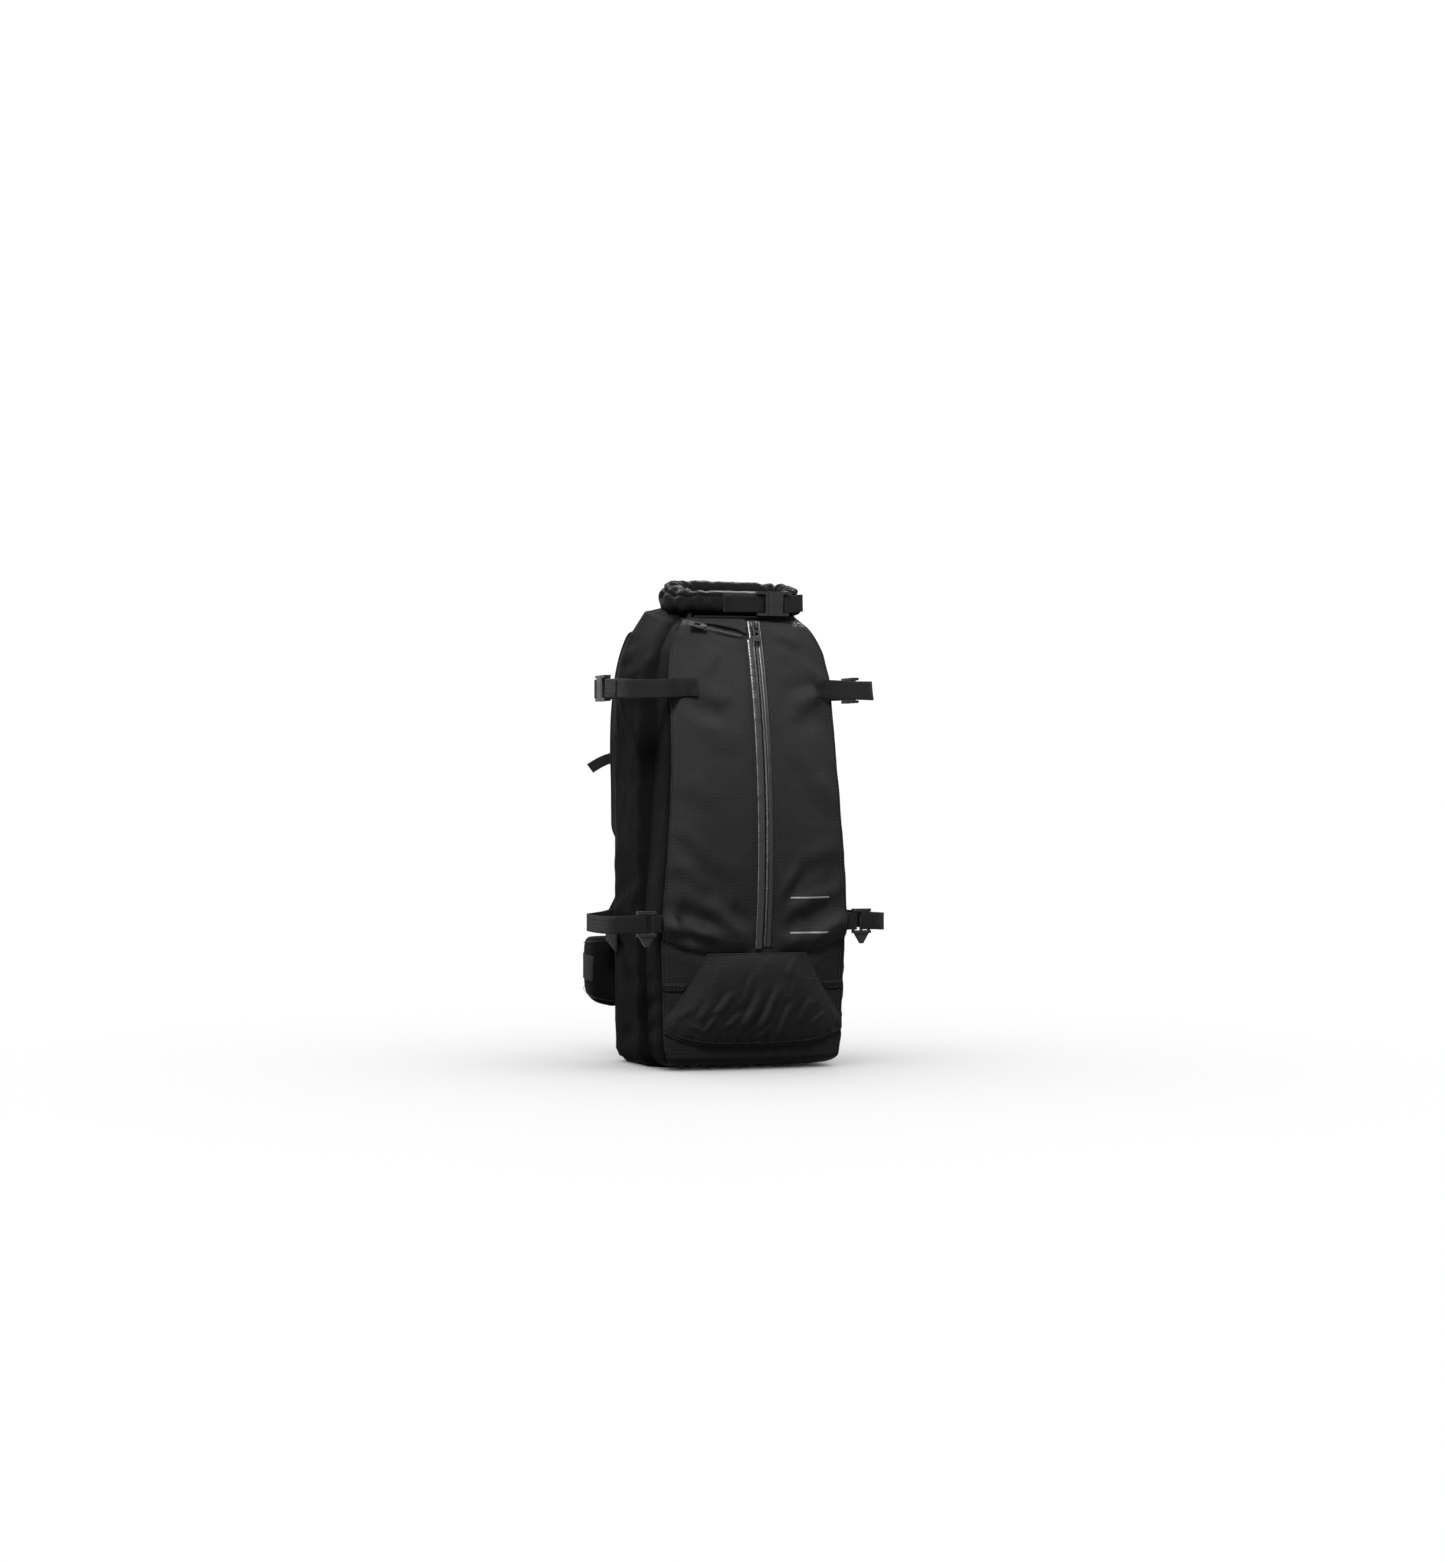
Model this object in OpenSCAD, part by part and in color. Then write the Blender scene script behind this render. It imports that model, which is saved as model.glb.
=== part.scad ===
// Roll-top ski backpack with side loops for carrying one ski on each flank.
// Frame: +Z up, -Y is the pack's front (away from the wearer), +Y faces the wearer.
// Origin: the middle of the flat base that the pack stands on. Millimetres.

/* [Bag] */
// Half width of the bag at the seam next to the wearer
bag_half_w = 124; // [118:1:126]
// Back seam of the bag, towards the wearer
bag_back_y = 75; // [72:1:76]
// Thickness of the bag's padded fabric wall
wall = 3; // [2:0.5:4]

/* [Front compartment] */
// Radius of the arc that the front zip runs along
zip_r = 680; // [676:1:684]
// Sideways place of the front zip
zip_x = 8; // [6:1:9]

/* [Webbing] */
// Webbing thickness
web_t = 1.6; // [1.2:0.1:1.8]
// Width of the upper ski loops' webbing
ski_web_w = 22; // [20:1:22]
// Width of the lower ski loops' webbing
low_web_w = 20; // [18:1:20]
// How far the upper ski loops stand out from the middle
ski_loop_x = 152; // [150:1:156]
// How far the lower ski loops stand out from the middle
low_loop_x = 166; // [160:1:168]

/* [Harness] */
// Width of a shoulder pad
pad_w = 58; // [50:1:60]
// Thickness of a shoulder pad
pad_t = 11; // [9:0.5:12]
// Height of the sternum strap above the base
sternum_z = 360; // [350:1:370]
// Middle height of the hip belt
hip_z = 104; // [98:1:108]

/* [Hidden] */

fabric = [0.07, 0.07, 0.075];
webbing = [0.05, 0.05, 0.055];
foam = [0.10, 0.10, 0.105];
plastic = [0.04, 0.04, 0.045];
metal = [0.72, 0.73, 0.75];

left = -1;
right = 1;
gap = 0.6;            // clearance between facing fabric layers
bag_front_y = -46;    // seam between the bag and its front compartment
base_t = 2.4;         // thickness of the base panel
bag_floor_z = 3;      // underside of the bag shell, just over the base panel
throat_z = 512;       // front of the slanting rim that the roll closes

// ---------- sweeping and lofting ----------

function unit(v) = v / norm(v);
function reversed(v) = [for (i = [len(v) - 1:-1:0]) v[i]];
function mirrored(path) = [for (p = path) [-p[0], p[1], p[2]]];
function sided(path, side) = side < 0 ? path : mirrored(path);

// Catmull-Rom curve through p1 and p2 at t
function curve_at(p0, p1, p2, p3, t) =
  0.5 * (2 * p1 + (p2 - p0) * t + (2 * p0 - 5 * p1 + 4 * p2 - p3) * t * t
    + (3 * p1 - p0 - 3 * p2 + p3) * t * t * t);

// A smooth path through pts with k steps between each two
function smooth(pts, k) = let (n = len(pts) - 1) concat(
  [for (i = [0:n - 1], s = [0:k - 1])
    curve_at(pts[max(i - 1, 0)], pts[i], pts[i + 1], pts[min(i + 2, n)], s / k)],
  [pts[n]]);

function tangent(path, i, closed) = let (n = len(path)) closed
  ? unit(path[(i + 1) % n] - path[(i + n - 1) % n])
  : unit(path[min(i + 1, n - 1)] - path[max(i - 1, 0)]);

// One section of a sweep: points [a, b] of the outline lie a half widths and b half thicknesses out
function section_at(path, i, across, w, t, outline, closed) =
  let (along = tangent(path, i, closed), side = unit(across - (across * along) * along),
    face = cross(along, side))
  [for (q = outline) path[i] + side * q[0] * w / 2 + face * q[1] * t / 2];

function at(value, i) = is_list(value) ? value[i] : value;

function rings_of(path, across, w, t, outline, closed) =
  [for (i = [0:len(path) - 1]) section_at(path, i, across, at(w, i), at(t, i), outline, closed)];

flat_outline = [[-1, -1], [1, -1], [1, 1], [-1, 1]];
function round_outline(n, power) = [for (i = [0:n - 1]) let (a = 360 * (i + 0.5) / n, c = cos(a),
    s = sin(a))
  [sign(c) * pow(abs(c), power), sign(s) * pow(abs(s), power)]];
pad_outline = round_outline(12, 0.55);
tube_outline = round_outline(12, 0.85);

// A closed solid through rings of equal length, each counterclockwise as seen from the next
module loft(rings, ring_closed = false) {
  n = len(rings[0]);
  m = len(rings);
  steps = ring_closed ? m : m - 1;
  sides = [for (i = [0:steps - 1], j = [0:n - 1])
    let (a = i * n + j, b = ((i + 1) % m) * n + j, k = (j + 1) % n, c = ((i + 1) % m) * n + k,
        d = i * n + k)
    each [[a, b, c], [a, c, d]]];
  caps = ring_closed ? [] : [[for (j = [0:n - 1]) j], [for (j = [n - 1:-1:0]) (m - 1) * n + j]];
  polyhedron([for (r = rings) each r], concat(caps, sides), convexity = 10);
}

module ribbon(path, across, w, t = web_t) {
  loft(rings_of(path, across, w, t, flat_outline, false));
}

module pad(path, across, w, t) {
  loft(rings_of(path, across, w, t, pad_outline, false));
}

// ---------- the bag ----------

// One level of the bag: [z, half width at the back, at the front, back y, front y, corner radius, tilt]
bag_levels = [
  [bag_floor_z, bag_half_w - 12, bag_half_w - 18, bag_back_y - 9, -38, 22, 0],
  [7, bag_half_w - 5, bag_half_w - 11, bag_back_y - 3, -43, 26, 0],
  [16, bag_half_w - 1, bag_half_w - 7, bag_back_y, bag_front_y, 28, 0],
  [120, bag_half_w, bag_half_w - 6, bag_back_y, bag_front_y, 28, 0],
  [300, bag_half_w, bag_half_w - 6, bag_back_y, bag_front_y, 28, 0],
  [430, bag_half_w - 1, bag_half_w - 7, bag_back_y, bag_front_y, 28, 0],
  [468, bag_half_w - 6, bag_half_w - 14, bag_back_y - 1, bag_front_y + 1, 30, 0.02],
  [492, bag_half_w - 16, bag_half_w - 25, bag_back_y - 5, bag_front_y + 4, 31, 0.08],
  [throat_z, bag_half_w - 32, bag_half_w - 40, bag_back_y - 13, bag_front_y + 10, 30, 0.18]
];
corner_steps = 5;

// Rounded trapezium ring of a level, pulled in by d, counterclockwise from above
function bag_ring(level, d) =
  let (xb = level[1] - d, xf = level[2] - d, yb = level[3] - d, yf = level[4] + d, r = level[5] - d)
  [for (c = [[xb, yb, 0], [-xb, yb, 90], [-xf, yf, 180], [xf, yf, 270]], s = [0:corner_steps])
    let (a = c[2] + 90 * s / corner_steps,
      x = c[0] - sign(c[0]) * r + r * cos(a), y = c[1] - sign(c[1]) * r + r * sin(a))
    [x, y, level[0] + level[6] * (y - bag_front_y)]];

function raised(ring, dz) = [for (p = ring) [p[0], p[1], p[2] + dz]];

module body_shell() {
  outer = [for (l = bag_levels) bag_ring(l, 0)];
  inner = [for (l = bag_levels) bag_ring(l, wall)];
  floor_ring = raised(inner[0], wall);
  color(fabric) loft(concat(outer, reversed([for (i = [1:len(inner) - 1]) inner[i]]), [floor_ring]));
}

module base_panel() {
  level = bag_levels[0];
  color(fabric) loft([bag_ring([0, level[1] - 3, level[2] - 3, level[3] - 3, level[4] + 3, 20, 0], 0),
    bag_ring([base_t, level[1], level[2], level[3], level[4], 22, 0], 0)]);
}

// Soft skirt between the bag's rim and the roll
module collar() {
  top = bag_levels[len(bag_levels) - 1];
  low = raised(bag_ring(top, 0.2), 0.3);
  high = raised(bag_ring(top, 6), 6);
  color(fabric) loft([low, high, raised(bag_ring(top, 8), 6), raised(bag_ring(top, 3.2), 0.3)],
      ring_closed = true);
}

// ---------- the front compartment ----------

zip_centre_y = 563.2;
zip_centre_z = 257.4;
arc_low_z = 137;      // below this height the front runs straight down to the base
panel_widths = [[4, 102], [14, 108], [30, 111], [130, 114], [180, 115], [250, 110], [340, 104],
  [405, 102], [446, 102], [478, 97], [500, 87], [517, 74]];
panel_crowns = [[4, 10], [60, 13], [200, 16], [340, 17], [440, 15], [517, 12]];

function arc_y(z, r) = zip_centre_y - sqrt(r * r - pow(z - zip_centre_z, 2));
function centre_y(z) = z > arc_low_z ? arc_y(z, zip_r)
  : arc_y(arc_low_z, zip_r) + (arc_low_z - z) * 0.06 + 10 * pow(max(0, (16 - z) / 12), 2);
function half_w(z) = lookup(z, panel_widths);
function front_y(x, z) = centre_y(z) + lookup(z, panel_crowns) * pow(min(1, abs(x) / half_w(z)), 2.6);

// The panel's upper end slopes back towards the bag
panel_top_z = 517;
function end_slope(z) = z > 500 ? 0.3 * (z - 500) / (panel_top_z - 500) : 0;

crown_steps = 14;
function panel_outline(z, d) = let (h = half_w(z) - d, e = front_y(half_w(z), z) + d)
  concat([[-h, bag_front_y - gap], [-h, e + 14], [-h + 2, e + 5]],
    [for (i = [1:crown_steps - 1]) let (x = -h + 2 * h * i / crown_steps) [x, front_y(x, z) + d + 1]],
    [[h - 2, e + 5], [h, e + 14], [h, bag_front_y - gap]]);

// The compartment is a tray: its inner face runs back to the bag's front at both ends
tray_depths = [[4, 0.02], [9, 0.9], [20, 1], [495, 1], [510, 0.85], [517, 0.02]];
function tray_ring(z) =
  let (outer = panel_outline(z, 0), inner = panel_outline(z, 2.5), deep = lookup(z, tray_depths),
      back = bag_front_y - gap)
  [for (p = concat(outer, reversed([for (q = inner) [q[0], back + (q[1] - back) * deep]])))
    [p[0], p[1], z - end_slope(z) * (p[1] - front_y(0, z))]];

module front_panel() {
  color(fabric) loft([for (z = [4, 6.5, 9, 14, 20, 40, 80, 130, 137, 180, 220, 250, 295, 340, 372, 405,
      428, 446,
    462, 478, 490, 500, 506, 510, 513.5, 517]) tray_ring(z)]);
}

// A pad lying on the front panel between half widths given by a table of [z, half width]
module front_pad(widths, levels, lift, crown, steps = 12) {
  low = levels[0];
  high = levels[len(levels) - 1];
  color(fabric) loft([for (z = levels)
    let (h = lookup(z, widths), bulge = crown * sqrt(max(0, sin(180 * (z - low) / (high - low)))))
    concat(
      [for (i = [0:steps]) let (x = -h + 2 * h * i / steps)
        [x, front_y(x, z) - lift - bulge * (1 - pow(abs(x) / h, 4)), z]],
      [for (i = [steps:-1:0]) let (x = -h + 2 * h * i / steps) [x, front_y(x, z) - 0.4, z]])]);
}

pocket_widths = [[26, 78], [32, 94], [40, 104], [50, 106.5], [58, 106.5], [133, 58]];
module lower_pocket() {
  front_pad(pocket_widths, [26, 29, 32, 36, 40, 46, 52, 58, 70, 84, 98, 112, 124, 130, 133], 2.4, 9);
}

band_low_z = 90;
band_high_z = 100;
module pocket_bands() {
  color(webbing) for (side = [left, right])
    let (inner = [for (z = [band_low_z, band_high_z]) lookup(z, pocket_widths) + 1.5], outer = 110)
    loft([for (z = [band_low_z, band_high_z])
      let (h = z == band_low_z ? inner[0] : inner[1], xs = side < 0 ? [-outer, -outer + 8, -h - 8,
          -h] : [h, h + 8, outer - 8, outer])
      concat([for (x = xs) [x, front_y(x, z) - 2, z]], [for (x = reversed(xs)) [x, front_y(x, z) - 0.4,
          z]])]);
}

// A strip that follows the zip's arc, from lift_in to lift_out over the panel
module zip_strip(x0, x1, z0, z1, lift_in, lift_out) {
  steps = 24;
  loft([for (i = [0:steps]) let (z = z0 + (z1 - z0) * i / steps,
      out = arc_y(z, zip_r + lift_out), in = arc_y(z, zip_r + lift_in))
    [[x0, out, z], [x1, out, z], [x1, in, z], [x0, in, z]]]);
}

zip_low_z = 141;
zip_high_z = 512;
module front_zip() {
  color(plastic) {
    zip_strip(zip_x - 8, zip_x - 2, zip_low_z, zip_high_z, 0.3, 1.1);
    zip_strip(zip_x - 1.6, zip_x + 1.6, zip_low_z, zip_high_z, 0.3, 1.9);
    zip_strip(zip_x + 2, zip_x + 8, zip_low_z, zip_high_z, 0.3, 1.1);
  }
}

module front_zip_flap() {
  color(plastic) zip_strip(zip_x - 11, zip_x - 3.6, zip_low_z - 3, 492, 1.3, 2.9);
}

slider_z = 503;
slider_lift = 2.3;
module on_zip(z, lift) {
  a = asin((z - zip_centre_z) / zip_r);
  translate([zip_x, zip_centre_y - (zip_r + lift) * cos(a), zip_centre_z + (zip_r + lift) * sin(a)])
    rotate([-a, 0, 0]) children();
}

// Local frame of a slider: +X across, -Y away from the fabric, +Z up along the zip
module slider_body() {
  difference() {
    translate([-3.4, -2.2, -6]) cube([6.8, 2.2, 12]);
    translate([-4, -1, -7]) cube([0.9, 1.1, 14]);
    translate([3.1, -1, -7]) cube([0.9, 1.1, 14]);
  }
  difference() {
    translate([-1.2, -5.4, -1]) cube([2.4, 3.4, 6.4]);
    translate([-2, -3.9, 3]) rotate([0, 90, 0]) cylinder(r = 1, h = 4, $fn = 24);
  }
}

// Puller on its pin, hanging down from the slider's bridge
module puller(pull_w, pull_l) {
  translate([-pull_w / 2, -3.9, 3]) rotate([0, 90, 0]) cylinder(r = 0.94, h = pull_w, $fn = 24);
  for (s = [-1, 1]) translate([s * (pull_w / 2 - 0.9) - 0.9, -4.8, 3 - pull_l]) cube([1.8, 1.8, pull_l]);
  translate([-pull_w / 2, -5.2, 3 - pull_l - 1]) cube([pull_w, 2.4, 6]);
}

module front_zip_slider() {
  color(plastic) on_zip(slider_z, slider_lift) slider_body();
}
// At rest the pull lies along the zip
module front_zip_pull() {
  color(plastic) on_zip(slider_z, slider_lift) puller(8, 20);
}

// Top pocket: a stiffened flap over a short zip that runs down to the right
flap_low = [[-62, 510], [-40, 508], [-16, 503], [-3, 497]];
function flap_z(x) = lookup(x, flap_low);
module top_pocket_flap() {
  steps = 12;
  color(fabric) loft([for (i = [0:steps]) let (x = -62 + 59 * i / steps, low = flap_z(x), high = 514.5)
    [[x, front_y(x, low) - 0.5, low], [x, front_y(x, low) - 3, low], [x, front_y(x, high) - 2.1, high],
      [x, front_y(x, high) - 0.5, high]]]);
}

top_zip_start = [-60, 0, 505.5];
top_zip_end = [-8, 0, 494.5];
function on_panel(p, lift) = [p[0], front_y(p[0], p[2]) - lift, p[2]];
module top_zip() {
  color(plastic) ribbon([for (i = [0:6]) let (p = top_zip_start + (top_zip_end - top_zip_start) * i / 6)
      on_panel(p, 0.9)],
    [0, 0, 1], 4, 0.9);
}

top_slide_from = on_panel(top_zip_start + [4, 0, -0.8], 3.4);
top_slide_to = on_panel(top_zip_end - [6, 0, -1.3], 3.4);
module on_top_zip() {
  along = unit(top_slide_to - top_slide_from);
  out = unit(cross(along, [0, front_y(-35, 510) - front_y(-35, 490), 20]));
  pin = cross(along, out);
  o = top_slide_from;
  multmatrix([[pin[0], -out[0], along[0], o[0]], [pin[1], -out[1], along[1], o[1]],
    [pin[2], -out[2], along[2], o[2]], [0, 0, 0, 1]]) children();
}
module top_zip_slider() {
  color(metal) on_top_zip() slider_body();
}
module top_zip_pull() {
  color(plastic) on_top_zip() puller(6.8, 16);
}

// ---------- the roll closure ----------

roll_ax = 70;         // half width of the ring along the middle of the roll
roll_front_y = -46;
roll_back_y = 28;
roll_steps = 36;
function roll_centre(a) = let (my = (roll_front_y + roll_back_y) / 2, ay = (roll_back_y - roll_front_y) / 2,
    c = cos(a), s = sin(a), y = my + ay * sign(s) * pow(abs(s), 0.7))
  [roll_ax * sign(c) * pow(abs(c), 0.7), y, 533.5 + 14 * (y - roll_front_y) / (roll_back_y - roll_front_y)];
roll_path = [for (i = [0:roll_steps - 1]) roll_centre(360 * i / roll_steps)];
roll_talls = [for (p = roll_path) 27 + 6 * (p[1] - roll_front_y) / (roll_back_y - roll_front_y)];
roll_thick = 26;

module roll_top() {
  color(fabric) difference() {
    loft(rings_of(roll_path, [0, 0, 1], roll_talls, roll_thick, tube_outline, true), ring_closed = true);
    loft(rings_of(roll_path, [0, 0, 1], 19, 3, flat_outline, true), ring_closed = true);
  }
}

module roll_stiffener() {
  color(plastic) loft(rings_of(roll_path, [0, 0, 1], 18, 2, flat_outline, true), ring_closed = true);
}

// Collar fabric drawn up inside the ring of the roll
module throat_cap() {
  levels = [[521, 1], [530, 0.97], [535, 0.8], [538, 0.45]];
  cx = roll_ax - roll_thick / 2 - 5;
  cy = (roll_back_y - roll_front_y - roll_thick) / 2 - 6.5;
  my = (roll_front_y + roll_back_y) / 2;
  color(fabric) loft([for (l = levels) [for (i = [0:23]) let (c = cos(15 * i), s = sin(15 * i),
      y = my + cy * l[1] * s)
    [cx * l[1] * c, y, l[0] + 0.17 * (y - my)]]]);
}

roll_buckle_x = 27;   // mouth of the female half
roll_web_z = 533;
roll_web_w = 20;
roll_face_y = roll_front_y - roll_thick / 2 - 5.6;
module on_roll() {
  translate([roll_buckle_x, roll_face_y, roll_web_z]) rotate([90, 0, 0]) children();
}
module roll_buckle_female() {
  color(plastic) on_roll() release_female(roll_web_w);
}
module roll_buckle_male() {
  color(plastic) on_roll() release_male(roll_web_w);
}
web_over = 0.5;       // middle of the webbing over a buckle's middle plane
module roll_strap_left() {
  y = roll_face_y - web_over;
  color(webbing) ribbon(smooth([[-24, -60.6, roll_web_z], [-10, -62.4, roll_web_z], [4, y - 0.2,
      roll_web_z],
    [roll_buckle_x - 5.5, y, roll_web_z]], 4), [0, 0, 1], roll_web_w);
}
module roll_strap_right() {
  y = roll_face_y - web_over;
  color(webbing) ribbon(smooth([[roll_buckle_x + 19.5, y, roll_web_z], [52, y, roll_web_z], [60, -62.5,
      roll_web_z + 1],
    [68, -57.8, roll_web_z + 2]], 4), [0, 0, 1], roll_web_w);
}

// ---------- buckles ----------
// Local frame of a buckle: the halves part along X at x = 0, the webbing is w wide along Y,
// and it passes over the bars on the +Z side.

cheek = 4;
bar_r = 1.7;
module bar(x, w) {
  translate([x, -w / 2 - 2, -2.3]) rotate([-90, 0, 0]) cylinder(r = bar_r, h = w + 4, $fn = 24);
}

module release_female(w) {
  half = w / 2 + cheek;
  difference() {
    translate([0, -half, -4.2]) cube([24, 2 * half, 8.4]);
    translate([-1, -w / 2 - 1.7, -2.8]) cube([16, w + 3.4, 5.6]);
    for (s = [-1, 1]) translate([6, s * (half - 1) - 3, -2.8]) cube([8, 6, 5.6]);
    translate([17, -w / 2 - 0.8, -5]) cube([8, w + 1.6, 10]);
  }
  bar(22, w);
}

module release_male(w) {
  half = w / 2 + cheek;
  difference() {
    translate([-14, -half, -4]) cube([13.5, 2 * half, 8]);
    translate([-15, -w / 2 - 0.8, -5]) cube([11, w + 1.6, 10]);
  }
  bar(-12, w);
  bar(-6.8, w);
  for (s = [-1, 1]) translate([-0.6, s * (w / 2 - 0.7) - 1.8, -2.2]) cube([14, 3.6, 4.4]);
  translate([-0.6, -2, -2.2]) cube([11.6, 4, 4.4]);
}

// Ladder lock: the webbing passes over three bars between two cheeks
module ladder_lock(w, long) {
  for (s = [-1, 1]) translate([-long / 2, s * (w / 2 + 2.5) - 1.7, -4]) cube([long, 3.4, 6]);
  for (x = [-long / 2 + bar_r, 0, long / 2 - bar_r]) bar(x, w);
}

// Pointed thumb tab on a ladder lock's lower cheek
module thumb_tab(w) {
  edge = w / 2 + cheek;
  translate([0, 0, -3]) linear_extrude(3.4) polygon([[-9, -edge], [-2, -edge - 12], [2, -edge - 12], [9,
      -edge]]);
}

// ---------- ski loops ----------

ski_z = 436;
ski_buckle_y = -4;    // mouth of the female half
ski_gives_y = -46;    // in front of this the webbing keeps its shape, behind it the buckle pushes it aside
web_joint = 1.2;      // gap between two lengths of the same webbing
panel_up = [0, centre_y(ski_z + 10) - centre_y(ski_z - 10), 20];    // up along the leaning front panel
// Front half of an upper loop, drawn for the left side
function upper_front(sewn_x) = smooth([
  [sewn_x, front_y(sewn_x, ski_z) - 2.2, ski_z], [-86, front_y(-86, ski_z) - 2.4, ski_z - 1],
  [-104, -96.5, ski_z - 2], [-126, -97, ski_z - 3], [-143, -89, ski_z - 3],
  [-ski_loop_x - web_over, -70, ski_z - 2], [-ski_loop_x - web_over, ski_gives_y, ski_z - 1]], 4);
upper_end = smooth([[-ski_loop_x - web_over, ski_gives_y + web_joint, ski_z - 1],
  [-ski_loop_x - web_over, ski_buckle_y - 5.5, ski_z]], 2);
upper_rear = smooth([[-ski_loop_x - web_over, ski_buckle_y + 19.5, ski_z], [-ski_loop_x - web_over, 34,
    ski_z],
  [-146, 48, ski_z], [-134, 58, ski_z], [-bag_half_w - 0.4, 63, ski_z]], 4);

module on_side(side) {
  mirror([side > 0 ? 1 : 0, 0, 0]) children();
}
module on_ski_buckle(side) {
  on_side(side) translate([-ski_loop_x, ski_buckle_y, ski_z]) rotate([90, 0, 90]) rotate([0, 180, 0])
    mirror([1, 0, 0]) children();
}
// Front and rear halves of both upper loops
module ski_straps_upper() {
  color(webbing) {
    ribbon(upper_front(-66), panel_up, ski_web_w);
    ribbon(mirrored(upper_front(-78)), panel_up, ski_web_w);
    for (side = [left, right]) ribbon(sided(upper_rear, side), [0, 0, 1], ski_web_w);
  }
}
module ski_strap_ends() {
  color(webbing) for (side = [left, right]) ribbon(sided(upper_end, side), [0, 0, 1], ski_web_w);
}
module ski_buckle_females() {
  color(plastic) for (side = [left, right]) on_ski_buckle(side) release_female(ski_web_w);
}
module ski_buckle_male_left() {
  color(plastic) on_ski_buckle(left) release_male(ski_web_w);
}
module ski_buckle_male_right() {
  color(plastic) on_ski_buckle(right) release_male(ski_web_w);
}

low_z = 168;
low_face_y = -99;
lock_x = 129;         // middle of the lower loops' ladder locks
lock_long = 22;
low_gives_x = lock_x + 14;
low_path = smooth([[-low_gives_x - web_joint, low_face_y - web_over, low_z],
  [-156, -90, low_z - 1], [-low_loop_x, -70, low_z - 2], [-low_loop_x - 1, -20, low_z - 3],
  [-low_loop_x + 2, 26, low_z - 3], [-150, 50, low_z - 3], [-136, 60, low_z - 2], [-bag_half_w - 1.2, 64,
      low_z]], 4);
tab_path = smooth([[-98, front_y(-98, low_z) - 2.6, low_z], [-108, low_face_y - 0.6, low_z],
  [-lock_x + 6, low_face_y - web_over, low_z]], 4);
low_end = smooth([[-lock_x, low_face_y - web_over, low_z], [-low_gives_x, low_face_y - web_over, low_z]],
    2);
module ski_straps_lower() {
  color(webbing) for (side = [left, right]) ribbon(sided(low_path, side), [0, 0, 1], low_web_w);
}
// Webbing on both sides of the locks: the sewn tab, and the end of the loop that runs into the lock
module ski_tabs_lower() {
  color(webbing) for (side = [left, right], path = [tab_path, low_end]) ribbon(sided(path, side), [0, 0,
      1], low_web_w);
}
module ski_lock(side) {
  color(plastic) on_side(side) translate([-lock_x, low_face_y, low_z]) rotate([90, 0, 0]) {
    ladder_lock(low_web_w, lock_long);
    thumb_tab(low_web_w);
  }
}
module ski_lock_left() {
  ski_lock(left);
}
module ski_lock_right() {
  ski_lock(right);
}

// ---------- back and frame ----------

back_t = 9;
function back_half(z) = lookup(z, [[20, 84], [60, 96], [150, 100], [300, 96], [430, 88], [480, 74], [492,
    62]]);
module back_slab(levels, half, y0, t0, t1) {
  loft([for (l = levels) let (h = lookup(l, half),
      t = l == levels[0] || l == levels[len(levels) - 1] ? t0 : t1)
    [[-h, y0, l], [h, y0, l], [h, y0 + t - 3, l], [h - 6, y0 + t, l], [-h + 6, y0 + t, l], [-h,
        y0 + t - 3, l]]]);
}
module back_panel() {
  half = [[20, 84], [60, 96], [150, 100], [300, 96], [430, 88], [480, 74], [492, 62]];
  color(foam) back_slab([20, 30, 60, 150, 300, 430, 470, 480, 492], half, bag_back_y + 0.4, back_t - 3,
      back_t);
}

pad_face_y = bag_back_y + back_t + 0.8;
module back_pads() {
  color(foam) for (side = [-1, 1]) for (span = [[190, 316], [326, 452]])
    pad([for (z = [span[0], span[0] + 6, span[0] + 18, span[1] - 18, span[1] - 6, span[1]])
      [side * lookup(z, [[190, 50], [452, 46]]), pad_face_y + 4, z]], [1, 0, 0],
      [40, 56, 64, 64, 56, 40], [5, 7, 8, 8, 7, 5]);
}

hip_tall = 84;
hip_t = 11;
hip_hinge = [106, pad_face_y + hip_t / 2 + 1];
module lumbar_pad() {
  x = hip_hinge[0] - hip_t / 2 - 1.2;
  color(foam) pad([for (p = [-x, -x + 5, -40, 0, 40, x - 5, x]) [p,
      hip_hinge[1] - (abs(p) < 60 ? 0.4 : 0), hip_z]],
    [0, 0, 1], [70, hip_tall, 100, 108, 100, hip_tall, 70], [7, hip_t, 12, 12, 12, hip_t, 7]);
}

inner_back_y = bag_back_y - wall - 0.5;
module frame_sheet() {
  color(plastic) translate([-88, inner_back_y - 2.1, 40]) cube([176, 1.6, 390]);
}
module frame_stays() {
  color(metal) for (side = [-1, 1]) translate([side * 45 - 8, inner_back_y - 5.5, 50]) cube([16, 3, 400]);
}
module hydration_sleeve() {
  color(fabric) translate([-95, inner_back_y - 9, 30]) cube([190, 1.5, 300]);
}

// ---------- shoulder harness ----------

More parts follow.
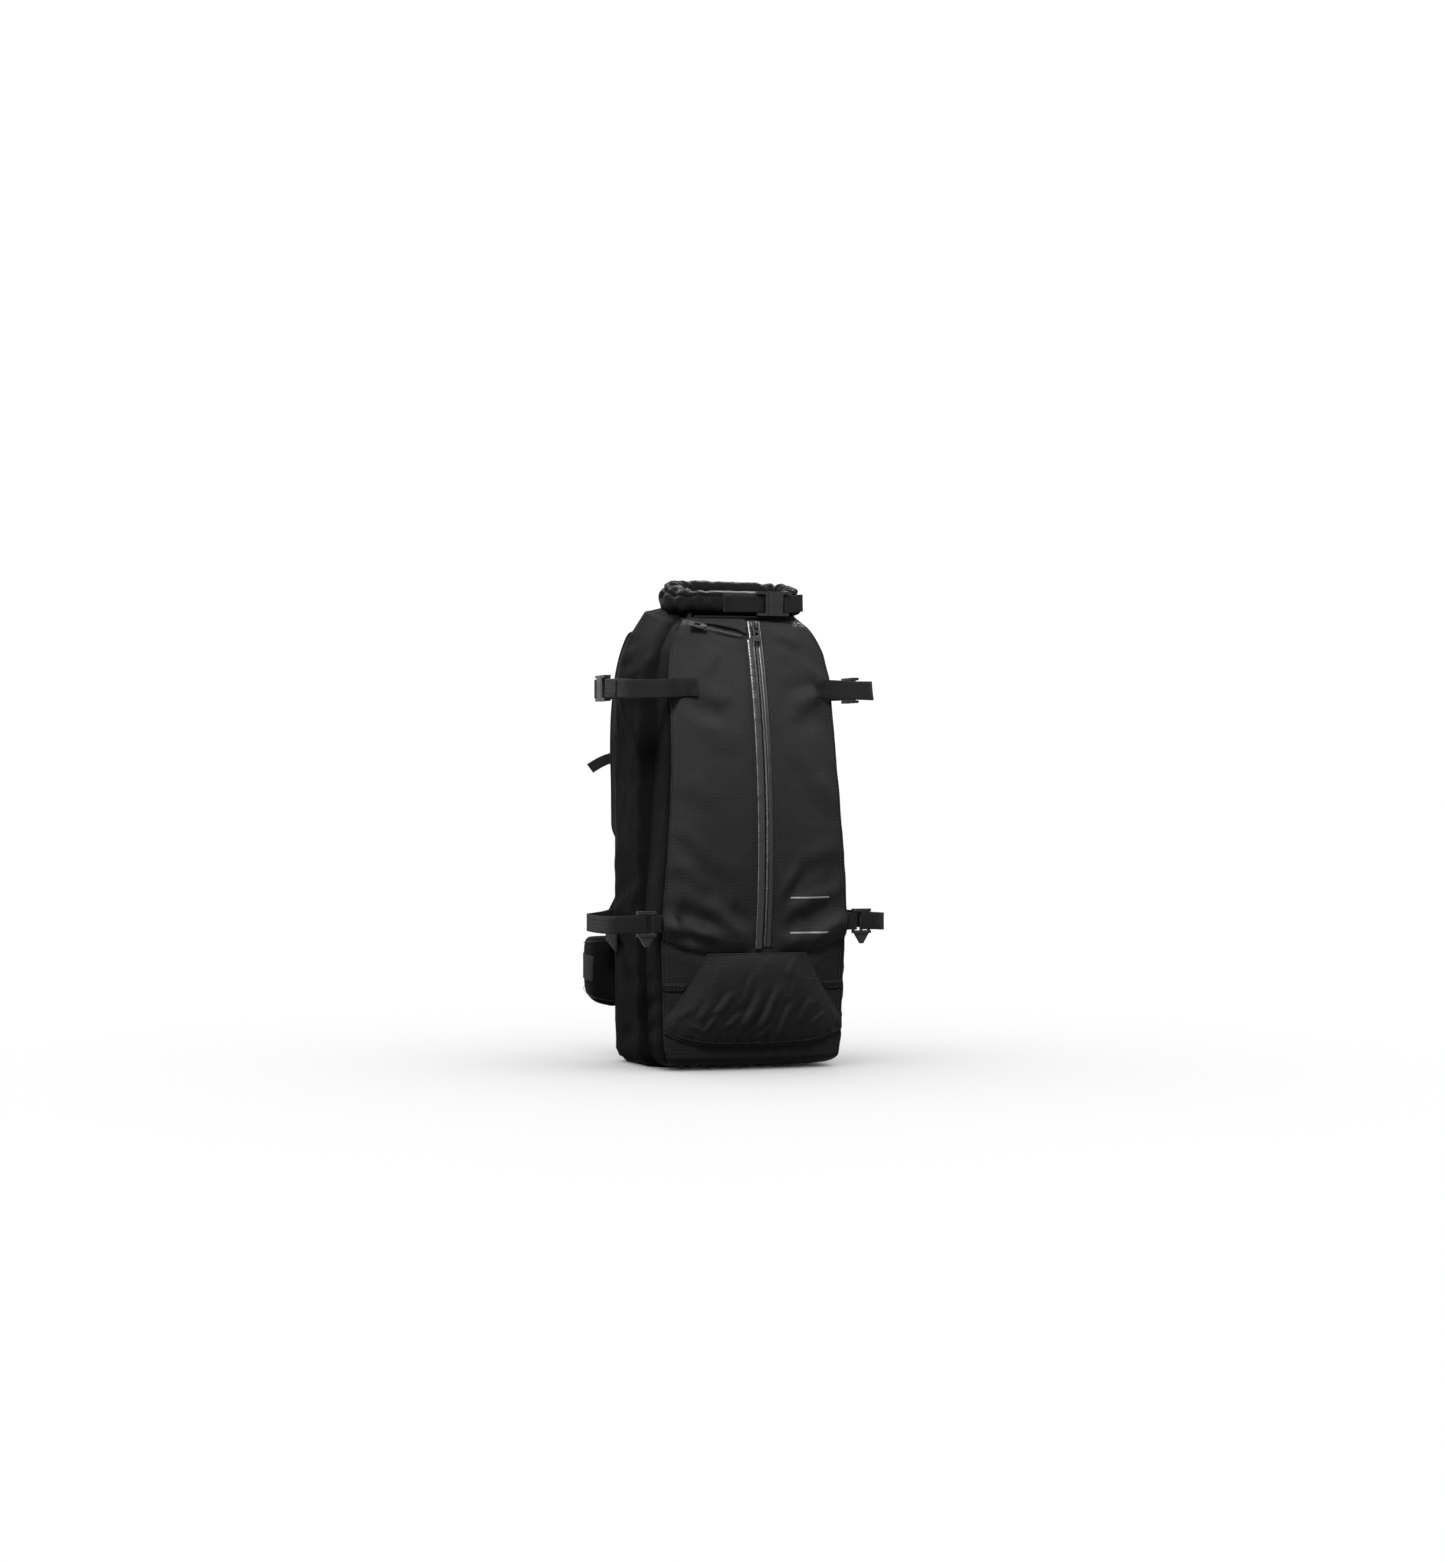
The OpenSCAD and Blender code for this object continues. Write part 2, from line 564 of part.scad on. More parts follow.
// Middle line of the left shoulder pad, from the back panel over the shoulder and down
strap_points = [[-56, 90.5, 478], [-57, 98, 494], [-60, 108, 501], [-65, 115, 490], [-74, 118, 460],
    [-80, 119, 420],
  [-83, 118, 375], [-84, 114, 330], [-86, 108, 290], [-88, 102, 258]];
strap_path = smooth(strap_points, 3);
strap_widths = [for (i = [0:len(strap_path) - 1]) let (t = i / (len(strap_path) - 1))
  pad_w - 10 * t - (t > 0.94 ? 14 : 0) - (t < 0.02 ? 6 : 0)];
module shoulder_pad(side) {
  ts = [for (i = [0:len(strap_path) - 1]) i == 0 || i == len(strap_path) - 1 ? pad_t - 4 : pad_t];
  color(foam) pad(sided(strap_path, side), [side, 0, 0], strap_widths, ts);
}
module shoulder_strap_left() {
  shoulder_pad(left);
}
module shoulder_strap_right() {
  shoulder_pad(right);
}

strap_web_w = 20;
strap_lock_at = [-89, 99, 240];
lock_lean = 10;       // the lock leans with the strap
anchor_at = [-bag_half_w - 1.4, 62, 150];
lower_web = smooth([strap_lock_at + [0, 1.6, -7], [-89.2, 97.6, 225], [-94, 92.5, 209], [-103, 86, 190],
    [-116, 80.5, 168],
  [-bag_half_w + 3, 79, 158]], 4);
lock_tab = [[-89, 101.6, 256.4], [-89, 101.9, 252], strap_lock_at + [0, 2.6, 8]];
tail_web = smooth([strap_lock_at + [0, 4.6, 4], strap_lock_at + [0, 5.8, -8], [-88, 103, 210], [-86, 101,
    180]], 4);
module strap_webbing(side) {
  color(webbing) {
    ribbon(sided(lower_web, side), [side, 0, 0], strap_web_w);
    ribbon(sided(tail_web, side), [side, 0, 0], strap_web_w);
    ribbon(sided(lock_tab, side), [side, 0, 0], strap_web_w);
  }
}
module strap_webbing_left() {
  strap_webbing(left);
}
module strap_webbing_right() {
  strap_webbing(right);
}
module strap_lock(side) {
  color(plastic) on_side(side) translate(strap_lock_at) rotate([90 - lock_lean, 0, 0]) rotate([0, 180, 90])
    ladder_lock(strap_web_w, 24);
}
module strap_lock_left() {
  strap_lock(left);
}
module strap_lock_right() {
  strap_lock(right);
}

// Triangular tabs in the bag's rear seams that hold the straps' lower webbing
module strap_anchors() {
  color(webbing) for (side = [left, right]) on_side(side)
    loft([for (p = [[-bag_half_w - 3.6, 0], [-bag_half_w - 0.8, 0]])
      [[p[0], 34, 128], [p[0], 34, 156.5], [p[0], 78, 156.5], [p[0], 78, 142]]]);
}

lifter_web = smooth([[-66, 124.2, 478], [-63, 122.6, 496], [-60, 115, 510], [-57, 100, 515], [-54, 84, 516],
  [-52, 75.5, 514]], 4);
module load_lifters() {
  color(webbing) for (side = [left, right]) ribbon(sided(lifter_web, side), [side, 0, 0], 15, 1.4);
}
module lifter_locks() {
  color(plastic) for (side = [left, right]) on_side(side) translate([-66, 127.6, 468]) rotate([90, 0,
      0]) rotate([0, 180, 90])
    ladder_lock(15, 16);
}

// ---------- sternum strap ----------

sternum_y = 129;
sternum_w = 15;
rail_x = 82;
module on_sternum() {
  translate([-6, sternum_y, sternum_z]) rotate([90, 0, 0]) rotate([180, 0, 0]) children();
}
module sternum_buckle_female() {
  color(plastic) on_sternum() release_female(sternum_w);
}
module sternum_buckle_male() {
  color(plastic) on_sternum() release_male(sternum_w);
}
module sternum_webbing_right() {
  y = sternum_y + web_over;
  color(webbing) ribbon([[13.5, y, sternum_z], [22, y, sternum_z], [46, y, sternum_z], [rail_x - 7, y,
      sternum_z]],
    [0, 0, 1], sternum_w);
}
module sternum_webbing_left() {
  y = sternum_y + web_over;
  color(webbing) ribbon([[-rail_x + 7, y, sternum_z], [-50, y, sternum_z], [-26, y, sternum_z], [-11.5,
      y, sternum_z]],
    [0, 0, 1], sternum_w);
}
rail_y = 126.7;
rail_low_z = 324;
rail_high_z = 396;
// Cord rails that stand off the shoulder pads between two stops
module sternum_rails() {
  color(plastic) for (side = [left, right]) translate([side * rail_x, 0, 0]) {
    translate([0, rail_y, rail_low_z]) cylinder(r = 1.1, h = rail_high_z - rail_low_z, $fn = 24);
    translate([-4, 119.6, rail_low_z - 5]) cube([8, 8.4, 6]);
    translate([-4, 125, rail_high_z - 1]) cube([8, 3, 6]);
  }
}
// Each slider runs on its pad's rail
module sternum_sliders() {
  color(plastic) for (side = [left, right]) translate([side * rail_x, sternum_y - 1,
      sternum_z]) difference() {
    translate([-6.6, -2.2, -10]) cube([13.2, 5.2, 20]);
    translate([-1.6, -3, -11]) cube([3.2, 3.4, 22]);
  }
}
// Free tail of the adjusting webbing beyond the left slider
module sternum_tail() {
  color(webbing) ribbon(smooth([[-rail_x - 7.6, sternum_y + 0.4, sternum_z], [-104, sternum_y + 1,
      sternum_z - 3],
    [-118, sternum_y + 1, sternum_z - 8], [-132, sternum_y, sternum_z - 16]], 4), [0, 0.35, 1],
        sternum_w - 2);
}

// ---------- hip belt ----------

wing_points = [[-hip_hinge[0], hip_hinge[1], hip_z], [-117, 98, hip_z], [-128, 111, hip_z + 1],
  [-130, 132, hip_z + 2], [-126, 158, hip_z + 3], [-114, 182, hip_z + 3]];
wing_path = smooth(wing_points, 4);
wing_talls = [for (i = [0:len(wing_path) - 1]) let (t = i / (len(wing_path) - 1))
  hip_tall - 26 * t - (t < 0.04 ? 12 : 0) - (t > 0.96 ? 12 : 0)];
module hip_wing(side) {
  ts = [for (i = [0:len(wing_path) - 1]) i == 0 || i == len(wing_path) - 1 ? hip_t - 4 : hip_t];
  color(foam) pad(sided(wing_path, side), [0, 0, 1], wing_talls, ts);
}
module hip_wing_left() {
  hip_wing(left);
}
module hip_wing_right() {
  hip_wing(right);
}

hip_web_w = 30;
hip_y = 214;
hip_web = smooth([[-113, 184.5, hip_z + 3], [-104, 196, hip_z + 3], [-91, 207, hip_z + 2], [-80, 213.2,
    hip_z + 1],
  [-72, hip_y + web_over, hip_z + 1], [-62, hip_y + web_over, hip_z + 1]], 4);
module hip_webbing_left() {
  color(webbing) ribbon(hip_web, [0, 0, 1], hip_web_w);
}
module hip_webbing_right() {
  color(webbing) ribbon(mirrored(hip_web), [0, 0, 1], hip_web_w);
}
module hip_buckle_male() {
  color(plastic) translate([-57, hip_y, hip_z + 1]) rotate([90, 0, 0]) rotate([180, 0,
      0]) release_male(hip_web_w);
}
module hip_buckle_female() {
  color(plastic) translate([40, hip_y, hip_z + 1]) rotate([90, 0, 0]) rotate([180, 0,
      0]) release_female(hip_web_w);
}

// ---------- haul loop ----------

haul_y = 86;
haul_z = 500;
haul_path = smooth([[-22, haul_y, haul_z], [-22.5, haul_y, haul_z + 16], [-15, haul_y, haul_z + 31], [0,
    haul_y, haul_z + 36],
  [15, haul_y, haul_z + 31], [22.5, haul_y, haul_z + 16], [22, haul_y, haul_z]], 4);
// Patch on the bag's upper back that the haul loop is sewn to
module haul_anchor() {
  low = 493.4;
  high = 507;
  color(webbing) loft([[[-32, 71.6, low], [32, 71.6, low], [32, 76.2, low], [-32, 76.2, low]],
    [[-27, 69.2, high], [27, 69.2, high], [27, 76.2, high], [-27, 76.2, high]]]);
}
module haul_loop() {
  color(webbing) ribbon(haul_path, [0, 1, 0], 14, 3);
}

body_shell();
base_panel();
front_panel();
lower_pocket();
pocket_bands();
front_zip();
front_zip_flap();
top_pocket_flap();
top_zip();
collar();
back_panel();
back_pads();
lumbar_pad();
frame_sheet();
frame_stays();
hydration_sleeve();
shoulder_strap_left();
shoulder_strap_right();
strap_webbing_left();
strap_webbing_right();
strap_anchors();
load_lifters();
lifter_locks();
ski_straps_upper();
ski_strap_ends();
ski_buckle_females();
ski_straps_lower();
ski_tabs_lower();
roll_top();
roll_stiffener();
throat_cap();
roll_strap_left();
roll_strap_right();
roll_buckle_female();
roll_buckle_male();
front_zip_slider();
front_zip_pull();
top_zip_slider();
top_zip_pull();
haul_anchor();
haul_loop();
hip_wing_left();
hip_wing_right();
hip_webbing_left();
hip_webbing_right();
hip_buckle_female();
hip_buckle_male();
sternum_rails();
sternum_webbing_left();
sternum_webbing_right();
sternum_sliders();
sternum_tail();
sternum_buckle_female();
sternum_buckle_male();
strap_lock_left();
strap_lock_right();
ski_buckle_male_left();
ski_buckle_male_right();
ski_lock_left();
ski_lock_right();
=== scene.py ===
import math

import bpy
import numpy as np
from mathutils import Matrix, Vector


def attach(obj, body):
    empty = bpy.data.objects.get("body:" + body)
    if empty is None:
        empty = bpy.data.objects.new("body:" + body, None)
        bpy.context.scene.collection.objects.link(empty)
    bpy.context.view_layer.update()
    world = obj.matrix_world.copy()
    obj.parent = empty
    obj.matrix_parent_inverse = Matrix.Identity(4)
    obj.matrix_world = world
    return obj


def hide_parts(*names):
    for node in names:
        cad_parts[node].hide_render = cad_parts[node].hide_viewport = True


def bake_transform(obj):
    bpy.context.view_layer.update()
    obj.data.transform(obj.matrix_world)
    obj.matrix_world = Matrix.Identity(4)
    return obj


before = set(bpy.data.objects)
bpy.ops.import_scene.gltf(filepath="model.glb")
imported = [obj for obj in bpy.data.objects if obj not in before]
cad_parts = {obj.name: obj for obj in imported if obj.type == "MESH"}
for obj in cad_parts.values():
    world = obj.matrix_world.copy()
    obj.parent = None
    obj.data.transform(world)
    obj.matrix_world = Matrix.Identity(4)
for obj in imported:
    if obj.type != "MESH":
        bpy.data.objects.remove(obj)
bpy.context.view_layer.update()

# Lengths are in mm until mesh_object() makes metres of them.
# x runs to the right of the front view, y to the back and z up; side is -1 on the left and 1 on the right.

MM = 0.001
SIDES = ((-1, "left"), (1, "right"))


# ---- numbers and noise

def vec(*p):
    return np.array(p, float)


def xyz(x, y, z):
    """Points from coordinates that broadcast"""
    return np.stack(np.broadcast_arrays(x, y, z), -1).astype(float)


def unit(v):
    return v / np.maximum(np.linalg.norm(v, axis=-1, keepdims=True), 1e-9)


def share(t):
    """t held between 0 and 1"""
    return np.clip(t, 0, 1)


def bell(d, width):
    """1 where d is 0, and next to nothing two widths away"""
    return np.exp(-(d / width) ** 2)


def lookup(z, table):
    t = np.array(table, float)
    return np.interp(z, t[:, 0], t[:, 1])


def smooth_lookup(z, table, soft):
    """lookup with its corners rounded over a length of soft"""
    taps = np.linspace(-1, 1, 9)
    weights = np.exp(-2 * taps ** 2)
    return sum(w * lookup(z + soft * s, table) for s, w in zip(taps, weights)) / weights.sum()


def lattice(i, j, k, seed):
    h = np.sin(i * 12.9898 + j * 78.233 + k * 37.719 + seed * 17.13) * 4375.5453
    return h - np.floor(h)


def noise(p, scale, seed=0):
    """Smooth value noise from -1 to 1 at points p, with features about scale mm across"""
    q = np.asarray(p, float) / scale
    i = np.floor(q)
    f = q - i
    f = f * f * (3 - 2 * f)
    out = np.zeros(q.shape[:-1])
    for corner in np.ndindex(2, 2, 2):
        weight = np.where(corner, f, 1 - f).prod(-1)
        a, b, c = corner
        out += weight * lattice(i[..., 0] + a, i[..., 1] + b, i[..., 2] + c, seed)
    return out * 2 - 1


def drape(p, scale, seed=0):
    """Cloth-like relief: soft swells with a few sharper folds"""
    warp = np.stack([noise(p, scale * 1.7, seed + s) for s in (1, 2, 3)], -1) * scale * 0.45
    base = noise(p + warp, scale, seed + 4)
    fold = 1 - np.abs(noise(p + warp * 1.6, scale * 0.8, seed + 5)) * 2
    return 0.6 * base + 0.4 * share(fold) ** 2


def strokes(a, b, marks):
    """Creases in the plane (a, b): each mark is (a0, b0, a1, b1, width, height)"""
    out = np.zeros(np.shape(a))
    for n, (a0, b0, a1, b1, width, height) in enumerate(marks):
        da, db = a1 - a0, b1 - b0
        length = math.hypot(da, db)
        t = ((a - a0) * da + (b - b0) * db) / length ** 2
        bow = 0.35 * width * np.sin(2.2 * t + n)
        d = ((a - a0) * db - (b - b0) * da) / length + bow
        taper = np.exp(-((t - 0.5) / 0.42) ** 4)
        valley = 0.45 * bell(d - 1.6 * width, 0.8 * width)
        out += height * taper * (bell(d, width) - valley)
    return out


# ---- paths

def arc_lengths(p):
    d = np.linalg.norm(np.diff(p, axis=0), axis=-1)
    return np.concatenate([[0], np.cumsum(d)])


def between(t, s, p, **kw):
    """Points p, which stand at s, read off at t"""
    return np.stack([np.interp(t, s, p[:, c], **kw) for c in range(3)], -1)


def catmull(pts, k, closed=False):
    """A smooth curve through pts, with k steps between two of them"""
    p = np.array(pts, float)
    n = len(p)
    out = []
    for i in range(n if closed else n - 1):
        if closed:
            p0, p1, p2, p3 = (p[(i + s) % n] for s in (-1, 0, 1, 2))
        else:
            p0, p1, p2, p3 = p[max(i - 1, 0)], p[i], p[i + 1], p[min(i + 2, n - 1)]
        for t in np.arange(k) / k:
            out.append(0.5 * (2 * p1 + (p2 - p0) * t + (2 * p0 - 5 * p1 + 4 * p2 - p3) * t * t
                              + (3 * p1 - p0 - 3 * p2 + p3) * t ** 3))
    if not closed:
        out.append(p[-1])
    return np.array(out)


def resample(path, step):
    s = arc_lengths(path)
    n = max(2, int(round(s[-1] / step)) + 1)
    return between(np.linspace(0, s[-1], n), s, path)


def closed_path(points, step):
    """An open ring of points, closed and spaced evenly"""
    return resample(np.concatenate([points, points[:1]]), step)[:-1]


def relaxed(loop, times):
    """A closed path with its corners smoothed away"""
    for _ in range(times):
        loop = (np.roll(loop, 1, 0) + 2 * loop + np.roll(loop, -1, 0)) / 4
    return loop


def frames(path, across, closed=False):
    """Unit vectors along, across and out of a path"""
    if closed:
        along = unit(np.roll(path, -1, 0) - np.roll(path, 1, 0))
    else:
        along = unit(np.gradient(path, axis=0))
    across = np.broadcast_to(np.asarray(across, float), path.shape)
    side = unit(across - (across * along).sum(-1, keepdims=True) * along)
    return along, side, np.cross(along, side)


def sided(p, side):
    """Points given for the left side, mirrored if side is the right one"""
    return np.asarray(p, float) * vec(-side, 1, 1)


# ---- meshes

def mesh_object(name, verts, faces, mats, uvs, face_mats=None):
    """A mesh from verts in mm; uvs is one (u, v) in mm for each vertex"""
    me = bpy.data.meshes.new(name)
    me.from_pydata((np.asarray(verts, float) * MM).tolist(), [], faces)
    for m in mats:
        me.materials.append(m)
    layer = me.uv_layers.new(name="UVMap")
    loops = np.zeros(len(me.loops), np.int32)
    me.loops.foreach_get("vertex_index", loops)
    layer.data.foreach_set("uv", np.asarray(uvs, float)[loops].astype(np.float32).ravel())
    if face_mats is not None:
        me.polygons.foreach_set("material_index", np.asarray(face_mats, np.int32))
    me.polygons.foreach_set("use_smooth", np.full(len(me.polygons), True))
    me.validate()
    me.update()
    o = bpy.data.objects.new(name, me)
    bpy.context.collection.objects.link(o)
    return o


def grid_parts(p, close_u=False, close_v=False, caps=False):
    """Faces and uvs of a grid of points p[v][u]"""
    m, n = p.shape[:2]
    i, j = np.meshgrid(np.arange(m if close_v else m - 1), np.arange(n if close_u else n - 1), indexing="ij")
    i2, j2 = (i + 1) % m, (j + 1) % n
    faces = np.stack([i * n + j, i * n + j2, i2 * n + j2, i2 * n + j], -1).reshape(-1, 4).tolist()
    if caps:
        faces += [list(range(n))[::-1], [(m - 1) * n + k for k in range(n)]]
    u = arc_lengths(p[m // 2])
    v = arc_lengths(p[:, n // 2])
    uu, vv = np.meshgrid(u - u.mean(), v)
    return faces, np.stack([uu, vv], -1).reshape(-1, 2)


def grid(name, p, mats, close_u=False, close_v=False, face_mats=None):
    faces, uvs = grid_parts(p, close_u, close_v)
    return mesh_object(name, p.reshape(-1, 3), faces, mats, uvs, face_mats)


def ring_normals(p):
    """Normals of a grid whose rows are closed rings"""
    du = np.roll(p, -1, 1) - np.roll(p, 1, 1)
    return unit(np.cross(du, np.gradient(p, axis=0)))


def flip(p):
    """The same grid seen from its other face"""
    return p[:, ::-1]


def tube(path, r, n=8, closed=False, across=(0.31, 0.22, 0.93)):
    """Rings of a round tube along a path"""
    _, side, face = frames(path, across, closed)
    a = np.linspace(0, 2 * np.pi, n, endpoint=False)[None, :, None]
    r = np.broadcast_to(np.asarray(r, float), (len(path),))[:, None, None]
    return path[:, None] + r * (np.cos(a) * side[:, None] + np.sin(a) * face[:, None])


# half of a strap's section, from its left edge under it to its right edge
WEB_UNDER = [[-1, -0.25], [-0.985, -0.75], [-0.93, -1], [-0.5, -0.9], [0, -0.88], [0.5, -0.9], [0.93, -1],
             [0.985, -0.75], [1, -0.25]]
WEB_OUTLINE = vec(*WEB_UNDER, *[[-x, -y] for x, y in WEB_UNDER])


def web_rings(path, across, w, t, rough, seed):
    """Rings of a flat strap with rounded selvedges"""
    _, side, face = frames(path, across)
    w = np.broadcast_to(np.asarray(w, float), (len(path),))[:, None, None]
    flat, thick = WEB_OUTLINE[None, :, :1] / 2, WEB_OUTLINE[None, :, 1:] / 2
    wave = noise(xyz(arc_lengths(path), 0, seed * 7.7), 22, seed)[:, None, None]
    return path[:, None] + flat * w * side[:, None] + (thick * t + rough * wave) * face[:, None]


def settle(o, slot, *nodes, body="pack", bends=None, pad=None):
    """Parents a piece to its body, or bakes its transform in place where bends is given, and hides the CAD
    nodes it replaces
    """
    if bends:
        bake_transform(o)
    else:
        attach(o, body)
    if nodes:
        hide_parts(*nodes)


class Pile:
    """Several grids gathered into one mesh object"""

    def __init__(self):
        self.verts, self.faces, self.uvs, self.mats = [], [], [], []
        self.count = 0

    def add(self, p, close_u=False, close_v=False, caps=False, mat=0):
        faces, uvs = grid_parts(p, close_u, close_v, caps)
        self.verts.append(p.reshape(-1, 3))
        self.uvs.append(uvs)
        self.faces += [[i + self.count for i in f] for f in faces]
        self.mats += [mat] * len(faces)
        self.count += p.shape[0] * p.shape[1]

    def cord(self, path, r, n=8, mat=0):
        """A round cord with closed ends"""
        self.add(tube(path, r, n), close_u=True, caps=True, mat=mat)

    def hoop(self, loop, r, mat=0, across=(0.31, 0.22, 0.93)):
        """A round cord along a closed path"""
        self.add(tube(loop, r, closed=True, across=across), close_u=True, close_v=True, mat=mat)

    def band(self, path, across, w, t, rough=0.05, seed=0):
        """A flat strap that follows a path as it is"""
        self.add(web_rings(path, across, w, t, rough, seed), close_u=True, caps=True)

    def strap(self, pts, across, w, t=1.6, k=8, step=3.0, seed=0, rough=0.12):
        """A flat strap on a smooth curve through pts"""
        self.band(resample(catmull(pts, k), step), across, w, t, rough, seed)

    def stitches(self, path, out, mat=1, length=2.6, gap=1.3, r=0.34):
        """A small capsule for each stitch; out is the surface's normal, once or for each point"""
        s = arc_lengths(path)
        n = max(1, int(s[-1] / (length + gap)))
        out = np.broadcast_to(np.asarray(out, float), path.shape)
        hump = 0.1 + 0.25 * np.sin(np.linspace(0, np.pi, 4))[:, None]
        for i in range(n):
            t = np.linspace(i, i + length / (length + gap), 4) * s[-1] / n
            normal = unit(between(t, s, out))
            p = between(t, s, path) + normal * hump
            rings = tube(p, vec(0.35, 1, 1, 0.35) * r, 5, across=normal[1] + vec(0.01, 0.02, 0.03))
            self.add(rings, close_u=True, caps=True, mat=mat)

    def seam(self, line, out, **kw):
        """Stitches along a line, which is spaced evenly first"""
        even = resample(line, 2)
        out = np.asarray(out, float)
        if out.ndim > 1:
            out = between(np.linspace(0, len(out) - 1, len(even)), np.arange(len(out)), out)
        self.stitches(even, out, **kw)

    def box_tack(self, centre, facing, w, h):
        """A box of stitching with a cross in it, on a face that looks along y"""
        c = [centre + vec(x * w / 2, 0, z * h / 2) for x, z in ((-1, -1), (1, -1), (1, 1), (-1, 1))]
        for i, j in ((0, 1), (1, 2), (2, 3), (3, 0), (0, 2), (1, 3)):
            run = np.stack([c[i], (c[i] + c[j]) / 2, c[j]])
            self.stitches(run, vec(0, facing, 0), mat=0, length=1.9, gap=0.9, r=0.3)

    def make(self, name, mats, slot, *nodes, **kw):
        """One object of all that was added, settled in its place"""
        verts, uvs = np.concatenate(self.verts), np.concatenate(self.uvs)
        settle(mesh_object(name, verts, self.faces, mats, uvs, self.mats), slot, *nodes, **kw)


# ---- materials

def grey(v, tint=(1, 1, 1.03)):
    return (v * tint[0], v * tint[1], v * tint[2], 1)


class Graph:
    """A new material, with short names for its shader nodes"""

    def __init__(self, name):
        self.material = bpy.data.materials.new(name)
        self.material.use_nodes = True
        self.nt = self.material.node_tree
        self.bsdf = next(n for n in self.nt.nodes if n.type == "BSDF_PRINCIPLED")
        self.place = self.node("ShaderNodeTexCoord").outputs["Object"]

    def put(self, socket, v):
        if isinstance(v, bpy.types.NodeSocket):
            self.nt.links.new(v, socket)
        else:
            socket.default_value = v

    def node(self, kind, inputs=None, **props):
        n = self.nt.nodes.new(kind)
        for k, v in props.items():
            setattr(n, k, v)
        for k, v in (inputs or {}).items():
            self.put(n.inputs[k], v)
        return n

    def surface(self, **inputs):
        """Sets the surface's inputs, with _ for a space in their names, and gives the material"""
        for k, v in inputs.items():
            self.put(self.bsdf.inputs[k.replace("_", " ")], v)
        return self.material

    def math(self, op, a, b=0.0):
        return self.node("ShaderNodeMath", {0: a, 1: b}, operation=op).outputs[0]

    def noise(self, coords, scale, detail=3.0, rough=0.55):
        inputs = {"Vector": coords, "Scale": scale, "Detail": detail, "Roughness": rough}
        return self.node("ShaderNodeTexNoise", inputs).outputs["Fac"]

    def ramp(self, fac, low, high, a=0.0, b=1.0):
        inputs = {"Value": fac, "From Min": low, "From Max": high, "To Min": a, "To Max": b}
        return self.node("ShaderNodeMapRange", inputs, clamp=True).outputs[0]

    def patches(self, scale, detail=3.0, a=0.0, b=1.0):
        """Cloudy noise in object space that runs from a to b"""
        return self.ramp(self.noise(self.place, scale, detail), 0.3, 0.7, a, b)

    def mix(self, fac, a, b):
        n = self.node("ShaderNodeMix", {0: fac, 6: a, 7: b}, data_type="RGBA")
        return n.outputs[2]

    def tones(self, fac, base, low, high):
        return self.mix(fac, grey(base * low), grey(base * high))

    def worn_and_edge_sheen(self, colour, edge, amount, edge_wear_and_sheen):
        """Colour that turns lighter on the object's edges: rubbed wear, and a painted sheen along them"""
        point = self.node("ShaderNodeNewGeometry").outputs["Pointiness"]
        return self.mix(self.ramp(point, 0.52, edge, 0.0, amount), colour, edge_wear_and_sheen)

    def uv(self):
        return self.node("ShaderNodeUVMap", uv_map="UVMap").outputs[0]

    def uv_mm(self):
        n = self.node("ShaderNodeSeparateXYZ", {0: self.uv()})
        return n.outputs[0], n.outputs[1]

    def stretched(self, coords, scale):
        return self.node("ShaderNodeMapping", {"Vector": coords, "Scale": scale}).outputs[0]

    def wave(self, coord, pitch):
        return self.math("SINE", self.math("MULTIPLY", coord, 2 * math.pi / pitch))

    def from_middle(self, coord, pitch):
        """How far a place is from the middle of its repeat, from 0 to a half"""
        repeat = self.math("FRACT", self.math("DIVIDE", coord, pitch))
        return self.math("ABSOLUTE", self.math("SUBTRACT", repeat, 0.5))

    def bump(self, height, distance, strength=1.0, normal=None):
        inputs = {"Height": height, "Distance": distance, "Strength": strength}
        if normal is not None:
            inputs["Normal"] = normal
        return self.node("ShaderNodeBump", inputs).outputs[0]

    def rounded(self, radius):
        return self.node("ShaderNodeBevel", {"Radius": radius * MM}, samples=6).outputs[0]


RIPSTOP_PITCH, RIPSTOP_LINE = 4.3, 0.6


def fabric(name, base, ripstop=0.0, pitch=0.9, rough=0.55, sheen=0.004, grain=1.0, gloss=0.2):
    """Woven nylon: uv in mm sets the weave, and object space the dust and wear; the edges also get a painted
    sheen
    """
    g = Graph(name)
    u, v = g.uv_mm()
    relief = g.math("MULTIPLY", g.math("MULTIPLY", g.wave(u, pitch), g.wave(v, pitch)), 0.35 * grain)
    thread = g.noise(g.stretched(g.uv(), (0.25, 3.0, 1)), 1.0, 2.0)
    colour = g.tones(g.patches(14.0, 4.0), base, 0.82, 1.2)
    colour = g.mix(g.ramp(thread, 0.35, 0.75, 0.0, 0.35), colour, grey(base * 1.7))
    if ripstop:
        half = RIPSTOP_LINE / RIPSTOP_PITCH / 2
        both = [g.ramp(g.from_middle(c, RIPSTOP_PITCH), half, half + 0.04, 1.0, 0.0) for c in (u, v)]
        cross = g.math("MAXIMUM", *both)
        relief = g.math("ADD", relief, g.math("MULTIPLY", cross, 0.55))
        colour = g.mix(g.math("MULTIPLY", cross, ripstop), colour, grey(base * 2.6))
    # edges lightened towards a paler tone: partly rubbed wear, partly painted edge sheen
    colour = g.worn_and_edge_sheen(colour, 0.60, 0.35, grey(base * 2.4))
    dust = g.ramp(g.noise(g.place, 55.0, 5.0, 0.7), 0.58, 0.8, 0.0, 0.16)
    colour = g.mix(dust, colour, grey(base * 3.2, (1.04, 1, 0.95)))
    slub = g.bump(g.noise(g.place, 160.0), 0.0003, 0.5, g.bump(relief, 0.00022))
    return g.surface(Base_Color=colour, Roughness=g.patches(30.0, 3.0, rough - 0.06, rough + 0.08),
                     Sheen_Weight=sheen, Sheen_Roughness=0.45, Specular_IOR_Level=gloss, Normal=slub)


